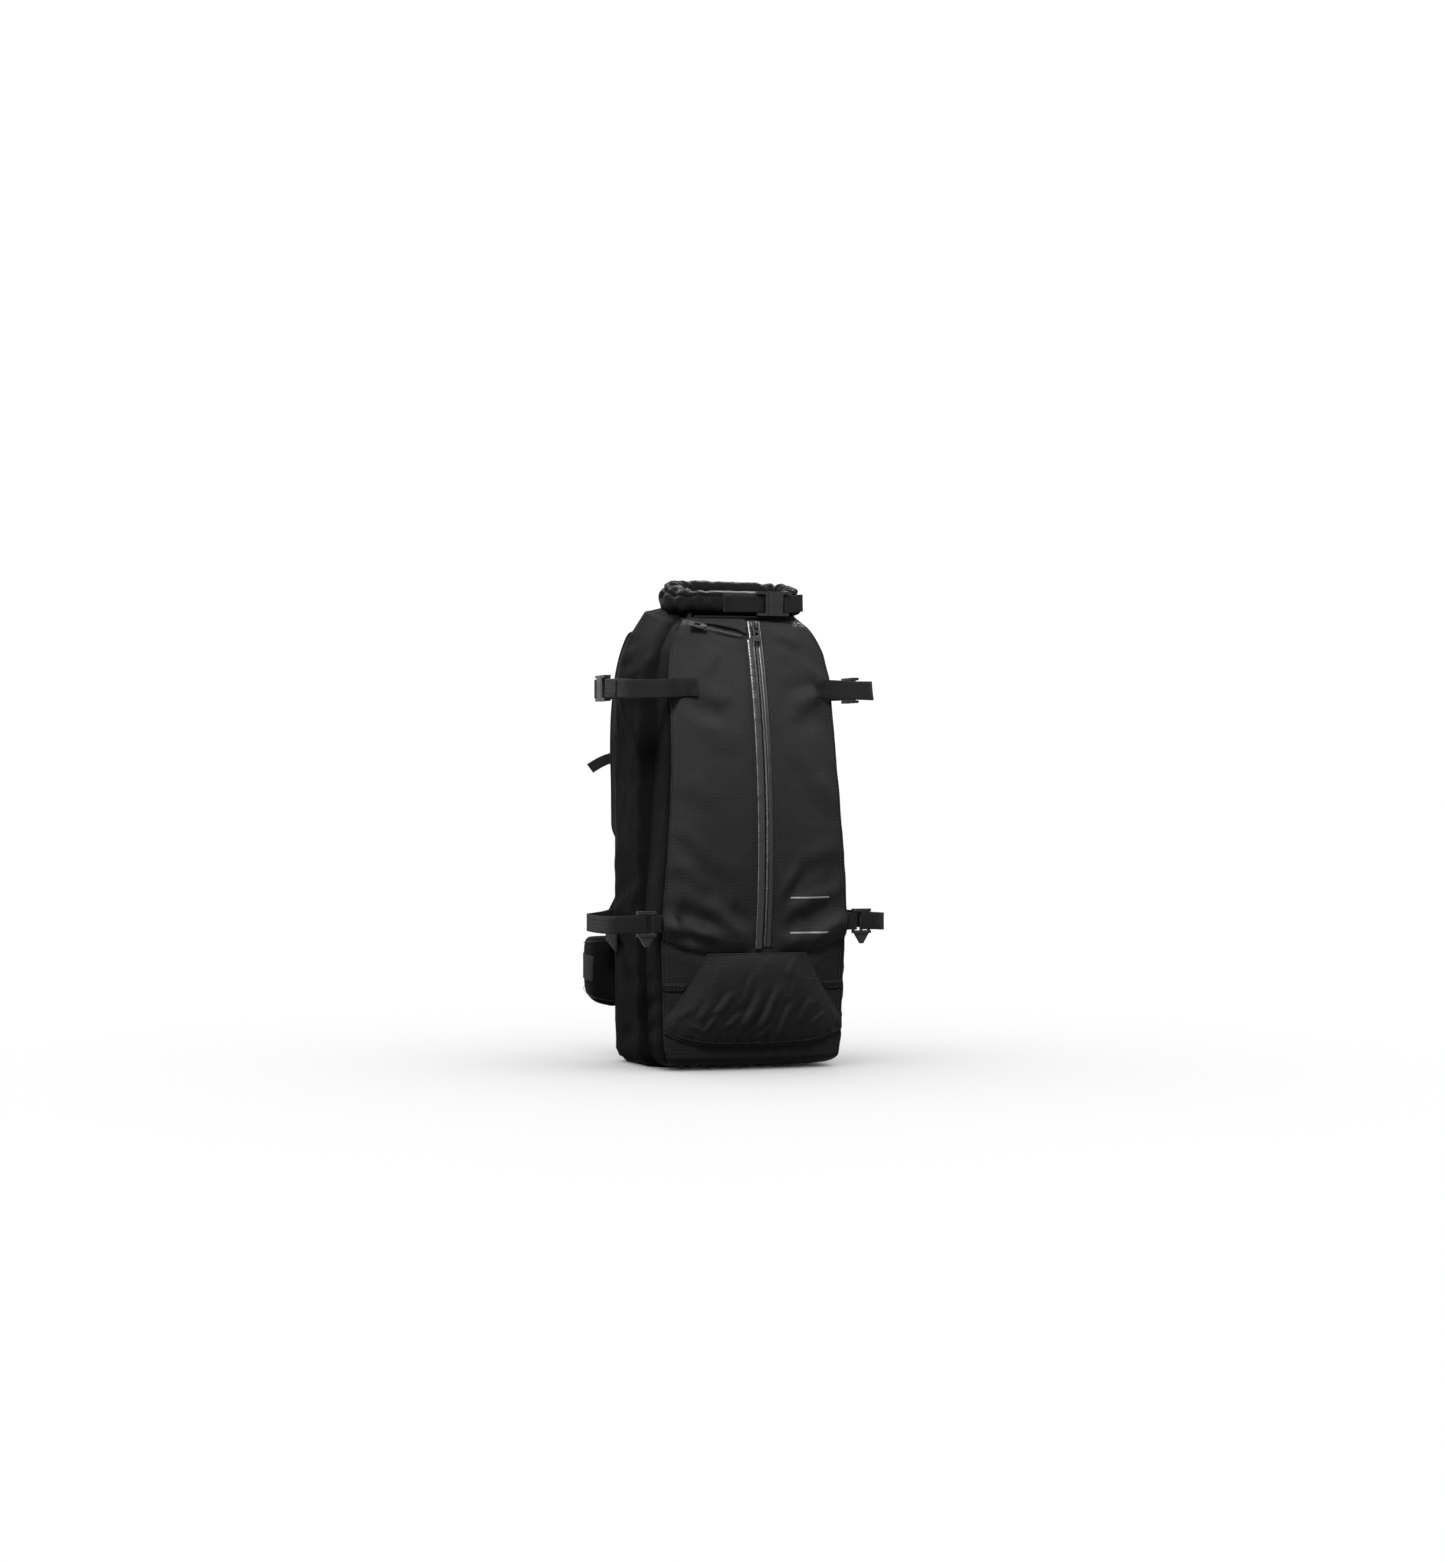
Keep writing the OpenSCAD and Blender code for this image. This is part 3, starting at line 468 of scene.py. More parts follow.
def webbing(name, base, rib=1.15, rough=0.6):
    """Flat woven strap: u across in mm, v along"""
    g = Graph(name)
    u, v = g.uv_mm()
    slant = g.math("ADD", v, g.math("MULTIPLY", g.from_middle(u, 4.4), 3.6))
    ribs = g.math("MULTIPLY", g.wave(slant, rib), 0.5)
    relief = g.math("ADD", ribs, g.math("MULTIPLY", g.wave(u, 1.1), 0.35))
    # tone follows the weave's relief: painted shade in its valleys and painted highlight on its ribs
    colour = g.tones(g.ramp(relief, -0.8, 0.8), base, 0.55, 1.35)
    fuzz = g.noise(g.place, 240.0, 4.0, 0.7)
    colour = g.mix(g.ramp(fuzz, 0.55, 0.85, 0.0, 0.35), colour, grey(base * 2.6))
    # its edges are lightened: rubbed wear and painted edge sheen
    return g.surface(Base_Color=g.worn_and_edge_sheen(colour, 0.6, 0.4, grey(base * 2.6)),
                     Roughness=g.ramp(fuzz, 0.3, 0.7, rough - 0.08, rough + 0.1), Sheen_Weight=0.004,
                     Sheen_Roughness=0.5, Specular_IOR_Level=0.03,
                     Normal=g.bump(fuzz, 0.0002, 0.4, g.bump(relief, 0.0003)))


def spacer_mesh(name, base):
    """3D spacer mesh: rows of small oval holes"""
    g = Graph(name)
    inputs = {"Vector": g.uv(), "Scale": 0.36, "Randomness": 0.12}
    cells = g.node("ShaderNodeTexVoronoi", inputs, feature="F1").outputs["Distance"]
    hole = g.ramp(cells, 0.16, 0.40, 1.0, 0.0)
    colour = g.tones(g.patches(26.0, 4.0), base, 0.85, 1.2)
    height = g.math("SUBTRACT", g.math("MULTIPLY", g.noise(g.place, 420.0), 0.3), hole)
    # the holes are painted darker, as painted shade inside them
    return g.surface(Base_Color=g.mix(g.math("MULTIPLY", hole, 0.85), colour, grey(base * 0.25)),
                     Roughness=g.patches(90.0, 3.0, 0.66, 0.86), Sheen_Weight=0.008, Specular_IOR_Level=0.05,
                     Normal=g.bump(height, 0.0006))


def plastic(name, base, rough=0.38):
    """Moulded plastic with a fine spark texture and softened edges"""
    g = Graph(name)
    colour = g.tones(g.patches(45.0), base, 0.85, 1.18)
    scuffs = g.noise(g.stretched(g.place, (1, 5, 2)), 130.0, 5.0, 0.7)
    colour = g.mix(g.ramp(scuffs, 0.60, 0.75, 0.0, 0.35), colour, grey(base * 2.6))
    # its edges are lightened: rubbed wear and painted edge highlight
    return g.surface(Base_Color=g.worn_and_edge_sheen(colour, 0.62, 0.3, grey(base * 2.2)),
                     Roughness=g.patches(70.0, 3.0, rough - 0.06, rough + 0.12), Specular_IOR_Level=0.2,
                     Normal=g.bump(g.noise(g.place, 1600.0, 2.0), 0.00006, 0.5, g.rounded(0.6)))


def zip_coating(name, base, rough, teeth):
    """Coated zip tape, or a coil where teeth is 1: uv v runs along the zip in mm"""
    g = Graph(name)
    tooth = g.wave(g.uv_mm()[1], 1.4)
    colour = g.tones(g.ramp(g.noise(g.place, 60.0, 4.0), 0.35, 0.7), base, 0.8, 1.3)
    shine = g.ramp(g.noise(g.place, 130.0), 0.3, 0.75, rough - 0.05, rough + 0.12)
    grain = g.bump(g.noise(g.place, 300.0), 0.0002, 0.4)
    # where teeth is 1 the gaps between the coil's teeth are painted darker, as painted shade
    return g.surface(Base_Color=g.mix(g.ramp(tooth, -0.6, 0.8, 0.5 * teeth, 0.0), colour, grey(base * 0.4)),
                     Roughness=shine, Specular_IOR_Level=0.35,
                     Normal=g.bump(tooth, 0.00018, 0.15 + 0.6 * teeth, grain))


def metal(name, base, rough=0.3):
    g = Graph(name)
    grain = g.noise(g.stretched(g.place, (1, 1, 0.05)), 900.0)
    return g.surface(Base_Color=g.tones(g.ramp(grain, 0.3, 0.7), base, 0.85, 1.1),
                     Roughness=g.ramp(grain, 0.3, 0.7, rough - 0.08, rough + 0.1), Metallic=1.0,
                     Normal=g.bump(grain, 0.00004, 0.5, g.rounded(0.4)))


def thread(name, base):
    g = Graph(name)
    twist = g.noise(g.place, 900.0, 2.0)
    return g.surface(Base_Color=g.tones(g.ramp(twist, 0.3, 0.7), base, 0.7, 1.4),
                     Roughness=g.ramp(twist, 0.3, 0.7, 0.4, 0.6), Specular_IOR_Level=0.2,
                     Normal=g.bump(twist, 0.0001, 0.7))


def reflective_print(name):
    g = Graph(name)
    beads = g.noise(g.place, 1500.0, 2.0)
    wear = g.ramp(g.noise(g.place, 120.0, 4.0), 0.55, 0.75, 0.0, 0.4)
    colour = g.mix(g.ramp(beads, 0.3, 0.7), grey(0.05), grey(0.085))
    return g.surface(Base_Color=g.mix(wear, colour, grey(0.025)),
                     Roughness=g.ramp(beads, 0.3, 0.7, 0.35, 0.5), Specular_IOR_Level=0.3,
                     Normal=g.bump(beads, 0.00008, 0.6))


RIPSTOP = fabric("ripstop_nylon", 0.0050, ripstop=0.15, rough=0.48, gloss=0.035)
POCKET = fabric("pocket_ripstop", 0.0027, ripstop=0.09, rough=0.44, gloss=0.045)
SMOOTH = fabric("smooth_nylon", 0.0014, pitch=0.7, rough=0.52, sheen=0.002, grain=0.7, gloss=0.005)
ROLL = fabric("coated_nylon", 0.0021, ripstop=0.07, rough=0.50, grain=0.7, gloss=0.012)
LINING = fabric("lining_cloth", 0.045, pitch=1.2, rough=0.6)
BINDING = fabric("binding_tape", 0.0026, pitch=1.6, rough=0.55, gloss=0.02)
WEBBING = webbing("webbing", 0.0042)
MESH = spacer_mesh("spacer_mesh", 0.007)
PLASTIC = plastic("buckle_plastic", 0.0032)
SHEET = plastic("sheet_plastic", 0.02, 0.5)
LAMINATE = zip_coating("zip_laminate", 0.0046, 0.27, 0.0)
TAPE = zip_coating("zip_tape", 0.0018, 0.36, 0.0)
COIL = zip_coating("zip_coil", 0.003, 0.4, 1.0)
GUNMETAL = metal("gunmetal", 0.06, 0.35)
ALLOY = metal("brushed_alloy", 0.62)
THREAD = thread("thread", 0.0065)
REFLECT = reflective_print("reflective_print")


# ---- foam pads

PAD_SIDES = 36
PAD_FILL = 0.85
PAD_ENDS = ((0.02, 1.6), (0.45, 1.4), (0.8, 0.9))     # share of the full section, how far past the path's end


def pad_rings(path, across, w, t, seed):
    """Rings of a foam pad with rounded sides and small dimples"""
    _, side, face = frames(path, across)
    a = np.linspace(0, 2 * np.pi, PAD_SIDES, endpoint=False)
    c, s = np.cos(a), np.sin(a)
    x = (np.sign(c) * np.abs(c) ** 0.5)[None, :, None]
    y = (np.sign(s) * np.abs(s) ** 0.65)[None, :, None]
    side, face = side[:, None], face[:, None]
    p = path[:, None] + x * w[:, None, None] / 2 * side + y * t[:, None, None] / 2 * face
    return p + 0.35 * drape(p, 26, seed)[..., None] * unit(x * side / 3 + y * face)


def foam_pad(name, path, across, w, t, body, node, seed, outer):
    """A foam pad with fabric on its outer face, mesh on the other and a bound edge.
    outer is 1 if the fabric face is the one that frames() points out of"""
    rings = pad_rings(path, across, w, t, seed)
    ends = []
    for tip, before in ((0, 1), (-1, -2)):
        centre, past = rings[tip].mean(0), unit(path[tip] - path[before])
        ends.append([centre + (rings[tip] - centre) * f + past * d for f, d in PAD_ENDS])
    full = np.concatenate([ends[0], rings, ends[1][::-1]])
    middles = (np.arange(PAD_SIDES) + 0.5) / PAD_SIDES * 2 * np.pi
    kinds = np.tile(np.where(np.sin(middles) * outer > 0, 0, 1), len(full) - 1)
    o = grid(name, full, [SMOOTH, MESH], close_u=True, face_mats=kinds)
    settle(o, "foam_mesh", node, body=body, pad=PAD_FILL)

    _, side, face = frames(path, across)
    half, thick = w[:, None] / 2, t[:, None] / 2
    loop = np.concatenate([path + side * (half + 0.1), (path - side * (half + 0.1))[::-1]])
    pile = Pile()
    pile.hoop(catmull(closed_path(loop, 6), 2, closed=True), 1.35)
    for sgn in (1, -1):
        line = path + sgn * side * (half - 5) + outer * face * (thick + 0.15)
        pile.seam(line[2:-2], outer * face[2:-2])
    pile.make(name + "_binding", [BINDING, THREAD], "webbing", body=body)


# ---- the bag

BAG_HALF, SEAM_Y, WALL = 124, -46, 3
# height, half width at the back and at the front, back, front, corner radius, lean of the level
BAG_LEVELS = vec([3, 112, 106, 66, -38, 22, 0], [7, 119, 113, 72, -43, 26, 0], [16, 123, 117, 75, -46, 28, 0],
                 [120, 124, 118, 75, -46, 28, 0], [300, 124, 118, 75, -46, 28, 0],
                 [430, 123, 117, 75, -46, 28, 0], [468, 118, 110, 74, -45, 30, 0.02],
                 [492, 108, 99, 70, -42, 31, 0.08], [512, 92, 84, 62, -36, 30, 0.18])
# folds pulled by the ski straps, and slumping near the base, in the plane (y, z)
BAG_MARKS = [
    (60, 168, -40, 150, 9, 2.6), (60, 172, -30, 205, 10, 2.4), (58, 160, -20, 96, 9, -2.4),
    (-44, 170, 20, 178, 6, 1.6), (60, 436, -30, 420, 9, 2.6), (60, 440, -36, 466, 10, 2.2),
    (60, 430, 0, 360, 10, -2.0), (-40, 60, 40, 84, 11, 2.6), (-36, 36, 30, 40, 9, -2.2),
    (-42, 110, 40, 128, 12, 2.2), (-44, 300, 30, 330, 12, 1.6), (-44, 240, 46, 262, 13, 1.4),
    (-44, 350, 16, 388, 10, 1.4), (-30, 480, 50, 470, 9, 1.8), (-20, 500, 40, 488, 6, -1.6),
]
TO_MIDDLE = vec(0.02, 0.02, 1)     # draws a ring in to close a surface


def bag_level(z):
    return vec(*[np.interp(z, BAG_LEVELS[:, 0], BAG_LEVELS[:, c]) for c in range(7)])


def bag_ring(level, inset, n=36):
    """The bag's outline at a level, with n steps on each straight"""
    z, xb, xf, yb, yf, r, lean = level
    xb, xf, yb, yf, r = xb - inset, xf - inset, yb - inset, yf + inset, max(r - inset, 2)
    corners = [(xb, yb, 0), (-xb, yb, 90), (-xf, yf, 180), (xf, yf, 270)]
    pts = []
    for q, (x, y, start) in enumerate(corners):
        a = np.radians(start + np.arange(11) * 9)[:, None]
        centre = np.array([x - math.copysign(r, x), y - math.copysign(r, y)])
        pts.append(centre + r * np.hstack([np.cos(a), np.sin(a)]))
        x, y, start = corners[(q + 1) % 4]
        a = math.radians(start)
        end = np.array([x - math.copysign(r, x) + r * math.cos(a), y - math.copysign(r, y) + r * math.sin(a)])
        last = pts[-1][-1]
        pts.append(last + (end - last) * (np.arange(1, n) / n)[:, None])
    p = np.concatenate(pts)
    return xyz(p[:, 0], p[:, 1], z + lean * (p[:, 1] - SEAM_Y))


def bag_fabric():
    zs = np.concatenate([[3, 4.5, 7, 11], np.linspace(16, 430, 116), np.linspace(434, 512, 26)])
    outer = np.stack([bag_ring(bag_level(z), 0) for z in zs])
    x, y, z = np.abs(outer[..., 0]), outer[..., 1], outer[..., 2]
    on_side = share((x - 100) / 20) * share((62 - y) / 20)
    free = share((z - 8) / 25) * share((516 - z) / 30)
    rise = 1.5 * drape(outer, 75, 3) + 1.0 * drape(outer, 30, 8) + 0.4 * drape(outer, 13, 9)
    rise += on_side * strokes(y + 7 * noise(outer, 60, 12), z, BAG_MARKS)
    held = np.where((y < -30) & (x < 100), 0.25, 1.0) * np.where((y > 70) & (x < 100), 0.2, 1.0)
    outer += ring_normals(outer) * (np.clip(rise, -3.2, 2.0) * free * held - 0.5)[..., None]
    inner = np.stack([bag_ring(bag_level(z), WALL) for z in zs[3:]])[::-1]
    floor = inner[-1] * vec(1, 1, 0) + vec(0, 0, 6)
    pile = Pile()
    pile.add(np.concatenate([outer, inner[:1]]), close_u=True)
    pile.add(np.concatenate([inner, [floor * vec(0.97, 0.97, 1), floor * TO_MIDDLE]]), close_u=True, mat=1)
    pile.add(np.stack([outer[0] * TO_MIDDLE, outer[0]]), close_u=True)
    pile.make("bag_fabric", [SMOOTH, LINING], "shell_fabric", "body_shell")


def base_fabric():
    low = bag_level(3)
    rings = [bag_ring(vec(z, *low[1:]), inset) for z, inset in ((0, 3.2), (0.4, 1.6), (1.2, 0.4), (2.4, 0))]
    pile = Pile()
    pile.add(np.stack([rings[0] * TO_MIDDLE, *rings, rings[-1] * TO_MIDDLE]), close_u=True)
    pile.hoop(bag_ring(vec(4.0, 112.6, 106.6, 66.6, -38.6, 22, 0), 0)[::2], 1.3, mat=1)
    pile.make("base_fabric", [SMOOTH, BINDING], "shell_fabric", "base_panel")


bag_fabric()
base_fabric()


# ---- the front compartment: its middle runs on the zip's arc, and straight down below it

ZIP_R, ZIP_CY, ZIP_CZ, ARC_LOW = 680.0, 563.2, 257.4, 137.0
ZIP_X = 8.0
WIDTHS = [[4, 102], [14, 108], [30, 111], [130, 114], [180, 115], [250, 110], [340, 104], [405, 102],
          [446, 102], [478, 97], [500, 87], [517, 74]]
CROWNS = [[4, 10], [60, 13], [200, 16], [340, 17], [440, 15], [517, 12]]
FRONT_MARKS = [
    (-104, 172, -34, 150, 8, 3.4), (-100, 206, -46, 178, 9, 2.2), (-96, 190, -66, 146, 7, -3.0),
    (-62, 204, -12, 150, 9, 2.4), (-30, 196, -4, 160, 8, -1.6), (-104, 240, -60, 204, 11, 1.8),
    (-70, 250, -20, 222, 12, 1.1), (20, 178, 56, 236, 8, 2.2), (34, 160, 92, 216, 9, 2.4),
    (46, 232, 98, 268, 11, 1.7), (62, 150, 108, 180, 8, 2.8), (24, 152, 54, 176, 8, -1.8),
    (76, 200, 106, 240, 9, -1.6), (86, 436, 36, 418, 10, 2.2), (90, 428, 46, 380, 11, -2.0),
    (96, 447, 56, 466, 9, 1.6), (-68, 438, -26, 424, 10, 2.0), (-72, 430, -34, 392, 11, -1.9),
    (-66, 446, -36, 476, 9, 1.4), (-92, 336, -56, 300, 13, 1.4), (-98, 280, -64, 244, 11, 1.7),
    (68, 336, 98, 296, 12, 1.6), (30, 380, 70, 340, 13, 1.0), (-60, 400, -20, 360, 14, 0.9),
    (-40, 506, -4, 488, 8, -1.4), (28, 502, 66, 486, 7, 1.6), (16, 490, 40, 470, 8, 1.1),
]
PANEL_BACK = -46.6
PANEL_LOW, PANEL_HIGH = 14, 505     # the face between its rounded lower and upper edges
LOW_ROUND, HIGH_ROUND = 9.6, 12.5
SIDE_STRIP = 5.0                    # smooth cloth this near to the edge


def arc_y(z):
    return ZIP_CY - np.sqrt(np.maximum(ZIP_R ** 2 - (z - ZIP_CZ) ** 2, 1))


def centre_y(z):
    low = arc_y(ARC_LOW) + (ARC_LOW - z) * 0.06 + 10 * np.maximum(0, (16 - z) / 12) ** 2
    return np.where(z > ARC_LOW, arc_y(z), low)


def half_w(z):
    return smooth_lookup(z, WIDTHS, 8)


def front_y(x, z):
    return centre_y(z) + lookup(z, CROWNS) * np.minimum(1, np.abs(x) / half_w(z)) ** 2.6


def seam_z(x):
    """The seam between the upper and the lower front panel"""
    return 133 + 16 * share((np.abs(x) - 62) / 48) ** 1.5


def front_relief(x, z):
    """How far the front fabric stands off its plain surface"""
    p = xyz(x, 0, z)
    from_zip = np.abs(x - ZIP_X)
    free = share((from_zip - 10) / 22)
    pull = 1.3 + 0.7 * bell(z - 180, 42)
    rise = (0.9 * drape(p, 64, 21) + 0.42 * drape(p, 27, 22)) * free
    rise += pull * strokes(x + 6 * noise(p, 50, 23), z + 6 * noise(p, 46, 24), FRONT_MARKS) * free
    # the upper panel puffs out over the seam, the lower one starts tucked under it
    over = z - seam_z(x)
    beside_zip = share((from_zip - 9) / 18)
    puff = 5.6 * bell(over - 15, 13) * beside_zip
    tuck = 2.6 * np.exp(-np.maximum(over, 0) / 3.5) * beside_zip
    below = share(-over / 14)
    return np.where(over > 0, rise + puff - tuck, rise * 0.7 - 2.4 * (1 - below) ** 1.6)


def front_row(z, inset):
    """One row of the front compartment from its left seam over the face to its right seam"""
    h = float(half_w(z)) - inset
    edge = float(front_y(half_w(z), z)) + inset
    x = np.linspace(-h + 2, h - 2, 150)
    face = xyz(x, front_y(x * half_w(z) / h, z) + inset, z)
    left = np.array([(-h, y, z) for y in np.linspace(PANEL_BACK, edge + 14, 14)] + [(-h + 0.6, edge + 7, z)])
    pts = np.concatenate([left, face, sided(left[::-1], 1)])
    for _ in range(3):     # rounds the corners a little
        softened = (pts[:-2] + 2 * pts[1:-1] + pts[2:]) / 4
        pts[11:22], pts[-22:-11] = softened[10:21], softened[-21:-10]
    s = arc_lengths(pts)
    t = np.linspace(0, s[-1], 190)
    row = between(t, s, pts)
    d = unit(np.gradient(row, axis=0))
    out = xyz(d[:, 1], -d[:, 0], 0)
    facing = share(-out[:, 1])
    gather = 1.2 * drape(row, 36, 31) - 0.8
    low_gather = bell(z - 70, 45) * 1.6 * np.sin(z / 4.2 + 2 * noise(row, 24, 32))
    rise = front_relief(row[:, 0], row[:, 2]) * facing + (1 - facing) * (gather + low_gather)
    fade = share(t / 6) * share((s[-1] - t) / 6)
    return row + out * (rise * fade)[:, None]


def drawn_back(row, narrow, f, lean=0.0):
    """A row with its depth cut to a share f, which closes the panel back to the bag"""
    x, y, z = row.T
    return xyz(x * narrow, y * f + PANEL_BACK * (1 - f), z + lean * (y - PANEL_BACK) * (1 - f))


def front_panel():
    face = np.concatenate([np.linspace(PANEL_LOW, 120, 60), np.linspace(121.5, 160, 40),
                           np.linspace(163, PANEL_HIGH, 128)])
    low = np.arange(8, 0, -1) / 8 * math.pi / 2
    high = np.arange(1, 13) / 12 * math.pi / 2
    rows = [front_row(PANEL_LOW - LOW_ROUND * math.sin(a), LOW_ROUND * (1 - math.cos(a))) for a in low]
    rows += [front_row(z, 0.0) for z in face]
    rows += [front_row(PANEL_HIGH + HIGH_ROUND * math.sin(a), HIGH_ROUND * (1 - math.cos(a))) for a in high]
    under = [drawn_back(rows[0], narrow, f) for narrow, f in ((0.97, 0.0), (0.98, 0.3), (0.995, 0.75))]
    over = [drawn_back(rows[-1], narrow, f, 0.34)
            for narrow, f in ((0.995, 0.75), (0.985, 0.45), (0.975, 0.15), (0.97, 0.0))]
    full = np.stack(under + rows + over)
    middle = (full[:-1, :-1] + full[1:, 1:]) / 2
    x, z = middle[..., 0], middle[..., 2]
    kinds = np.where(np.abs(x) > half_w(z) - SIDE_STRIP, 2, np.where(z < seam_z(x) - 0.6, 1, 0))
    o = grid("front_fabric", full, [RIPSTOP, POCKET, SMOOTH], face_mats=kinds.ravel())
    settle(o, "ripstop_fabric", "front_panel")


def on_front(x, z, lift=0.0):
    """A point on the front fabric, lifted along its normal, and the normal"""
    x, z = np.broadcast_arrays(np.asarray(x, float), np.asarray(z, float))
    e = 1.5
    dx = (front_y(x + e, z) - front_y(x - e, z)) / (2 * e)
    dz = (front_y(x, z + e) - front_y(x, z - e)) / (2 * e)
    n = unit(xyz(dx, -1, dz))
    return xyz(x, front_y(x, z) - front_relief(x, z), z) + n * lift, n


trim = Pile()     # piping and seams on the pack, material 0 binding, 1 thread, 2 ripstop


def piping(xs, zs, r, lift):
    trim.cord(resample(on_front(xs, zs, lift)[0], 3), r, mat=2)


def front_trim():
    zs = np.linspace(20, 500, 90)
    for side in (-1, 1):
        piping(side * (half_w(zs) - 5.5), zs, 0.75, 0.3)
        trim.seam(*on_front(side * (half_w(zs) - 9.5), zs, 0.2))
    xs = np.linspace(-106, 106, 80)
    piping(xs, seam_z(xs) - 0.6, 0.7, 0.5)
    xs = np.linspace(-60, 62, 50)
    trim.cord(xyz(xs, front_y(xs, 514.0) + 3.4, 517.3), 1.3)


def reflective_bars():
    """Two plain bars at the lower right of the front panel"""
    xs = np.linspace(38, 86, 30)
    half = 0.95
    pile = Pile()
    for z in (196, 156):
        edges = ((-half, 0.12), (-half + 0.2, 0.3), (half - 0.2, 0.3), (half, 0.12))
        pile.add(np.stack([on_front(xs, z + dz, lift)[0] for dz, lift in edges]))
    pile.make("reflective_bars", [REFLECT], "ripstop_fabric")


front_panel()
front_trim()


# ---- the lower pocket

POCKET_MARKS = [
    (-34, 93, -54, 66, 4.6, 2.0), (4, 96, -28, 44, 4.8, 2.6), (24, 94, -4, 46, 4.6, 2.4),
    (42, 72, 24, 42, 4.2, 1.8), (-17, 72, -40, 44, 4.0, 1.6), (49, 126, 33, 98, 4.4, 1.1),
    (-39, 128, -55, 98, 5.0, 1.0), (-80, 78, -100, 60, 4.4, 1.8), (-62, 80, -72, 56, 4.0, 1.5),
    (66, 84, 52, 50, 4.6, 1.5), (88, 66, 68, 46, 4.0, 1.4), (-50, 62, -66, 42, 3.6, 1.3),
    (14, 124, -4, 98, 5.5, 0.7), (80, 100, 70, 74, 5.0, 0.9), (10, 56, -6, 38, 3.4, 1.3),
    (-86, 52, -64, 44, 3.4, 1.0), (-2, 110, -24, 74, 3.6, 0.8), (52, 110, 36, 74, 3.8, 0.9),
]
POCKET_TOP, POCKET_WIDE, POCKET_NARROW = 133, 106.5, 58
HEM_LOW, HEM_TALL = 89.5, 11


def pocket_low(x):
    """The pocket's curved bottom edge"""
    return 28 + 17 * (np.abs(x) / POCKET_WIDE) ** 4


def pocket_half(v):
    """Half width of the pocket at a share v of its height"""
    taper = sum(share((v + d - 0.17) / 0.83) for d in (-0.03, 0, 0.03)) / 3
    return POCKET_WIDE - (POCKET_WIDE - POCKET_NARROW) * taper


def pocket_at(u, v, lift=0.0):
    """A point of the pocket's outer face: pulled in at its edges, full and creased in the middle"""
    u, v = np.broadcast_arrays(np.asarray(u, float), np.asarray(v, float))
    x = u * pocket_half(v)
    z = pocket_low(x) + (POCKET_TOP - pocket_low(x)) * v
    low, high = share(v / 0.5), share((1 - v) / 0.5)
    full = share(1 - np.abs(u) ** 5) ** 0.8
    full *= np.sqrt(np.maximum(1 - (1 - low) ** 2, 0)) * np.sqrt(np.maximum(1 - (1 - high) ** 2, 0)) ** 1.2
    p = xyz(x, 0, z)
    wrinkle = strokes(x + 7 * noise(p, 44, 41), z + 7 * noise(p, 38, 42), POCKET_MARKS)
    wrinkle += 0.9 * drape(p, 46, 43) + 0.25 * drape(p, 14, 44)
    gather = 0.7 * np.sin(x / 2.4 + 3 * noise(p, 18, 45)) * bell(v - 0.03, 0.07)
    out = 1.8 + 10.5 * full + wrinkle * share(full * 1.5) + gather + lift
    return xyz(x, front_y(x, z) - np.clip(out, 0.9, 17.5), z)


def lower_pocket():
    us = np.sin(np.linspace(-np.pi / 2, np.pi / 2, 170))
    vs = np.concatenate([np.linspace(0, 0.1, 14), np.linspace(0.11, 1, 92)])
    full = np.pad(pocket_at(*np.meshgrid(us, vs)), ((1, 1), (1, 1), (0, 0)), mode="edge")
    back = xyz(full[..., 0], front_y(full[..., 0], full[..., 2]) - 0.4, full[..., 2])
    full[[0, -1]] = back[[0, -1]]
    full[:, [0, -1]] = back[:, [0, -1]]
    settle(grid("pocket_fabric", full, [POCKET]), "ripstop_fabric", "lower_pocket")


def pocket_run(us, vs, r=0.0, lift=0.0):
    """Piping, or stitches where r is 0, between two places given as shares of the pocket"""
    p = pocket_at(np.linspace(*us, 60), np.linspace(*vs, 60), lift)
    if r:
        trim.cord(resample(p, 2.5), r, mat=2)
    else:
        trim.seam(p, vec(0, -1, 0))


def pocket_trim():
    for side in (-1, 1):
        pocket_run((side, side), (0, 1), r=0.8)
        for inset in (0.045, 0.08):
            pocket_run((side * (1 - inset),) * 2, (0.1, 0.97), lift=0.3)
    pocket_run((-1, 1), (0, 0), r=0.9)
    pocket_run((-0.96, 0.96), (0.035, 0.035), lift=0.3)
    pocket_run((-1, 1), (1, 1), r=0.8)


def hem_bands():
    """Bands across the panel's side wings, from the pocket's edge to the panel's"""
    def beside_pocket(z):
        return pocket_half((z - 40) / (POCKET_TOP - 40))

    pile = Pile()
    for side in (-1, 1):
        rows = []
        for z in np.linspace(HEM_LOW, HEM_LOW + HEM_TALL, 9):
            x = np.linspace(beside_pocket(z) + 1.0, 108.5, 30)
            roll = 1.5 * np.sin(np.pi * (z - HEM_LOW) / HEM_TALL) ** 0.7 + 0.5
            rows.append(xyz(side * x, front_y(x, z) - roll - 0.25 * np.sin(x / 1.9), z))
        p = np.stack(rows)
        p = p if side > 0 else flip(p)
        pile.add(np.concatenate([p[:1] + vec(0, 1.4, 0), p]))
        for z in (92.4, 97.8):
            x = np.linspace(beside_pocket(z) + 3, 107, 30)
            pile.seam(xyz(side * x, front_y(x, z) - 2.05, z), vec(0, -1, 0))
    pile.make("hem_bands", [BINDING, THREAD], "webbing", "pocket_bands")


lower_pocket()
pocket_trim()
hem_bands()


# ---- zips

ZIP_LOW, ZIP_HIGH = 141, 512
COIL_PITCH = np.pi     # one loop for every two points of a coil's path


def zip_point(x, z, lift):
    a = np.arcsin((z - ZIP_CZ) / ZIP_R)
    return xyz(x, ZIP_CY - (ZIP_R + lift) * np.cos(a), ZIP_CZ + (ZIP_R + lift) * np.sin(a))


def zip_line(x, low, high, n, lift):
    return zip_point(ZIP_X + x, np.linspace(low, high, n), lift)


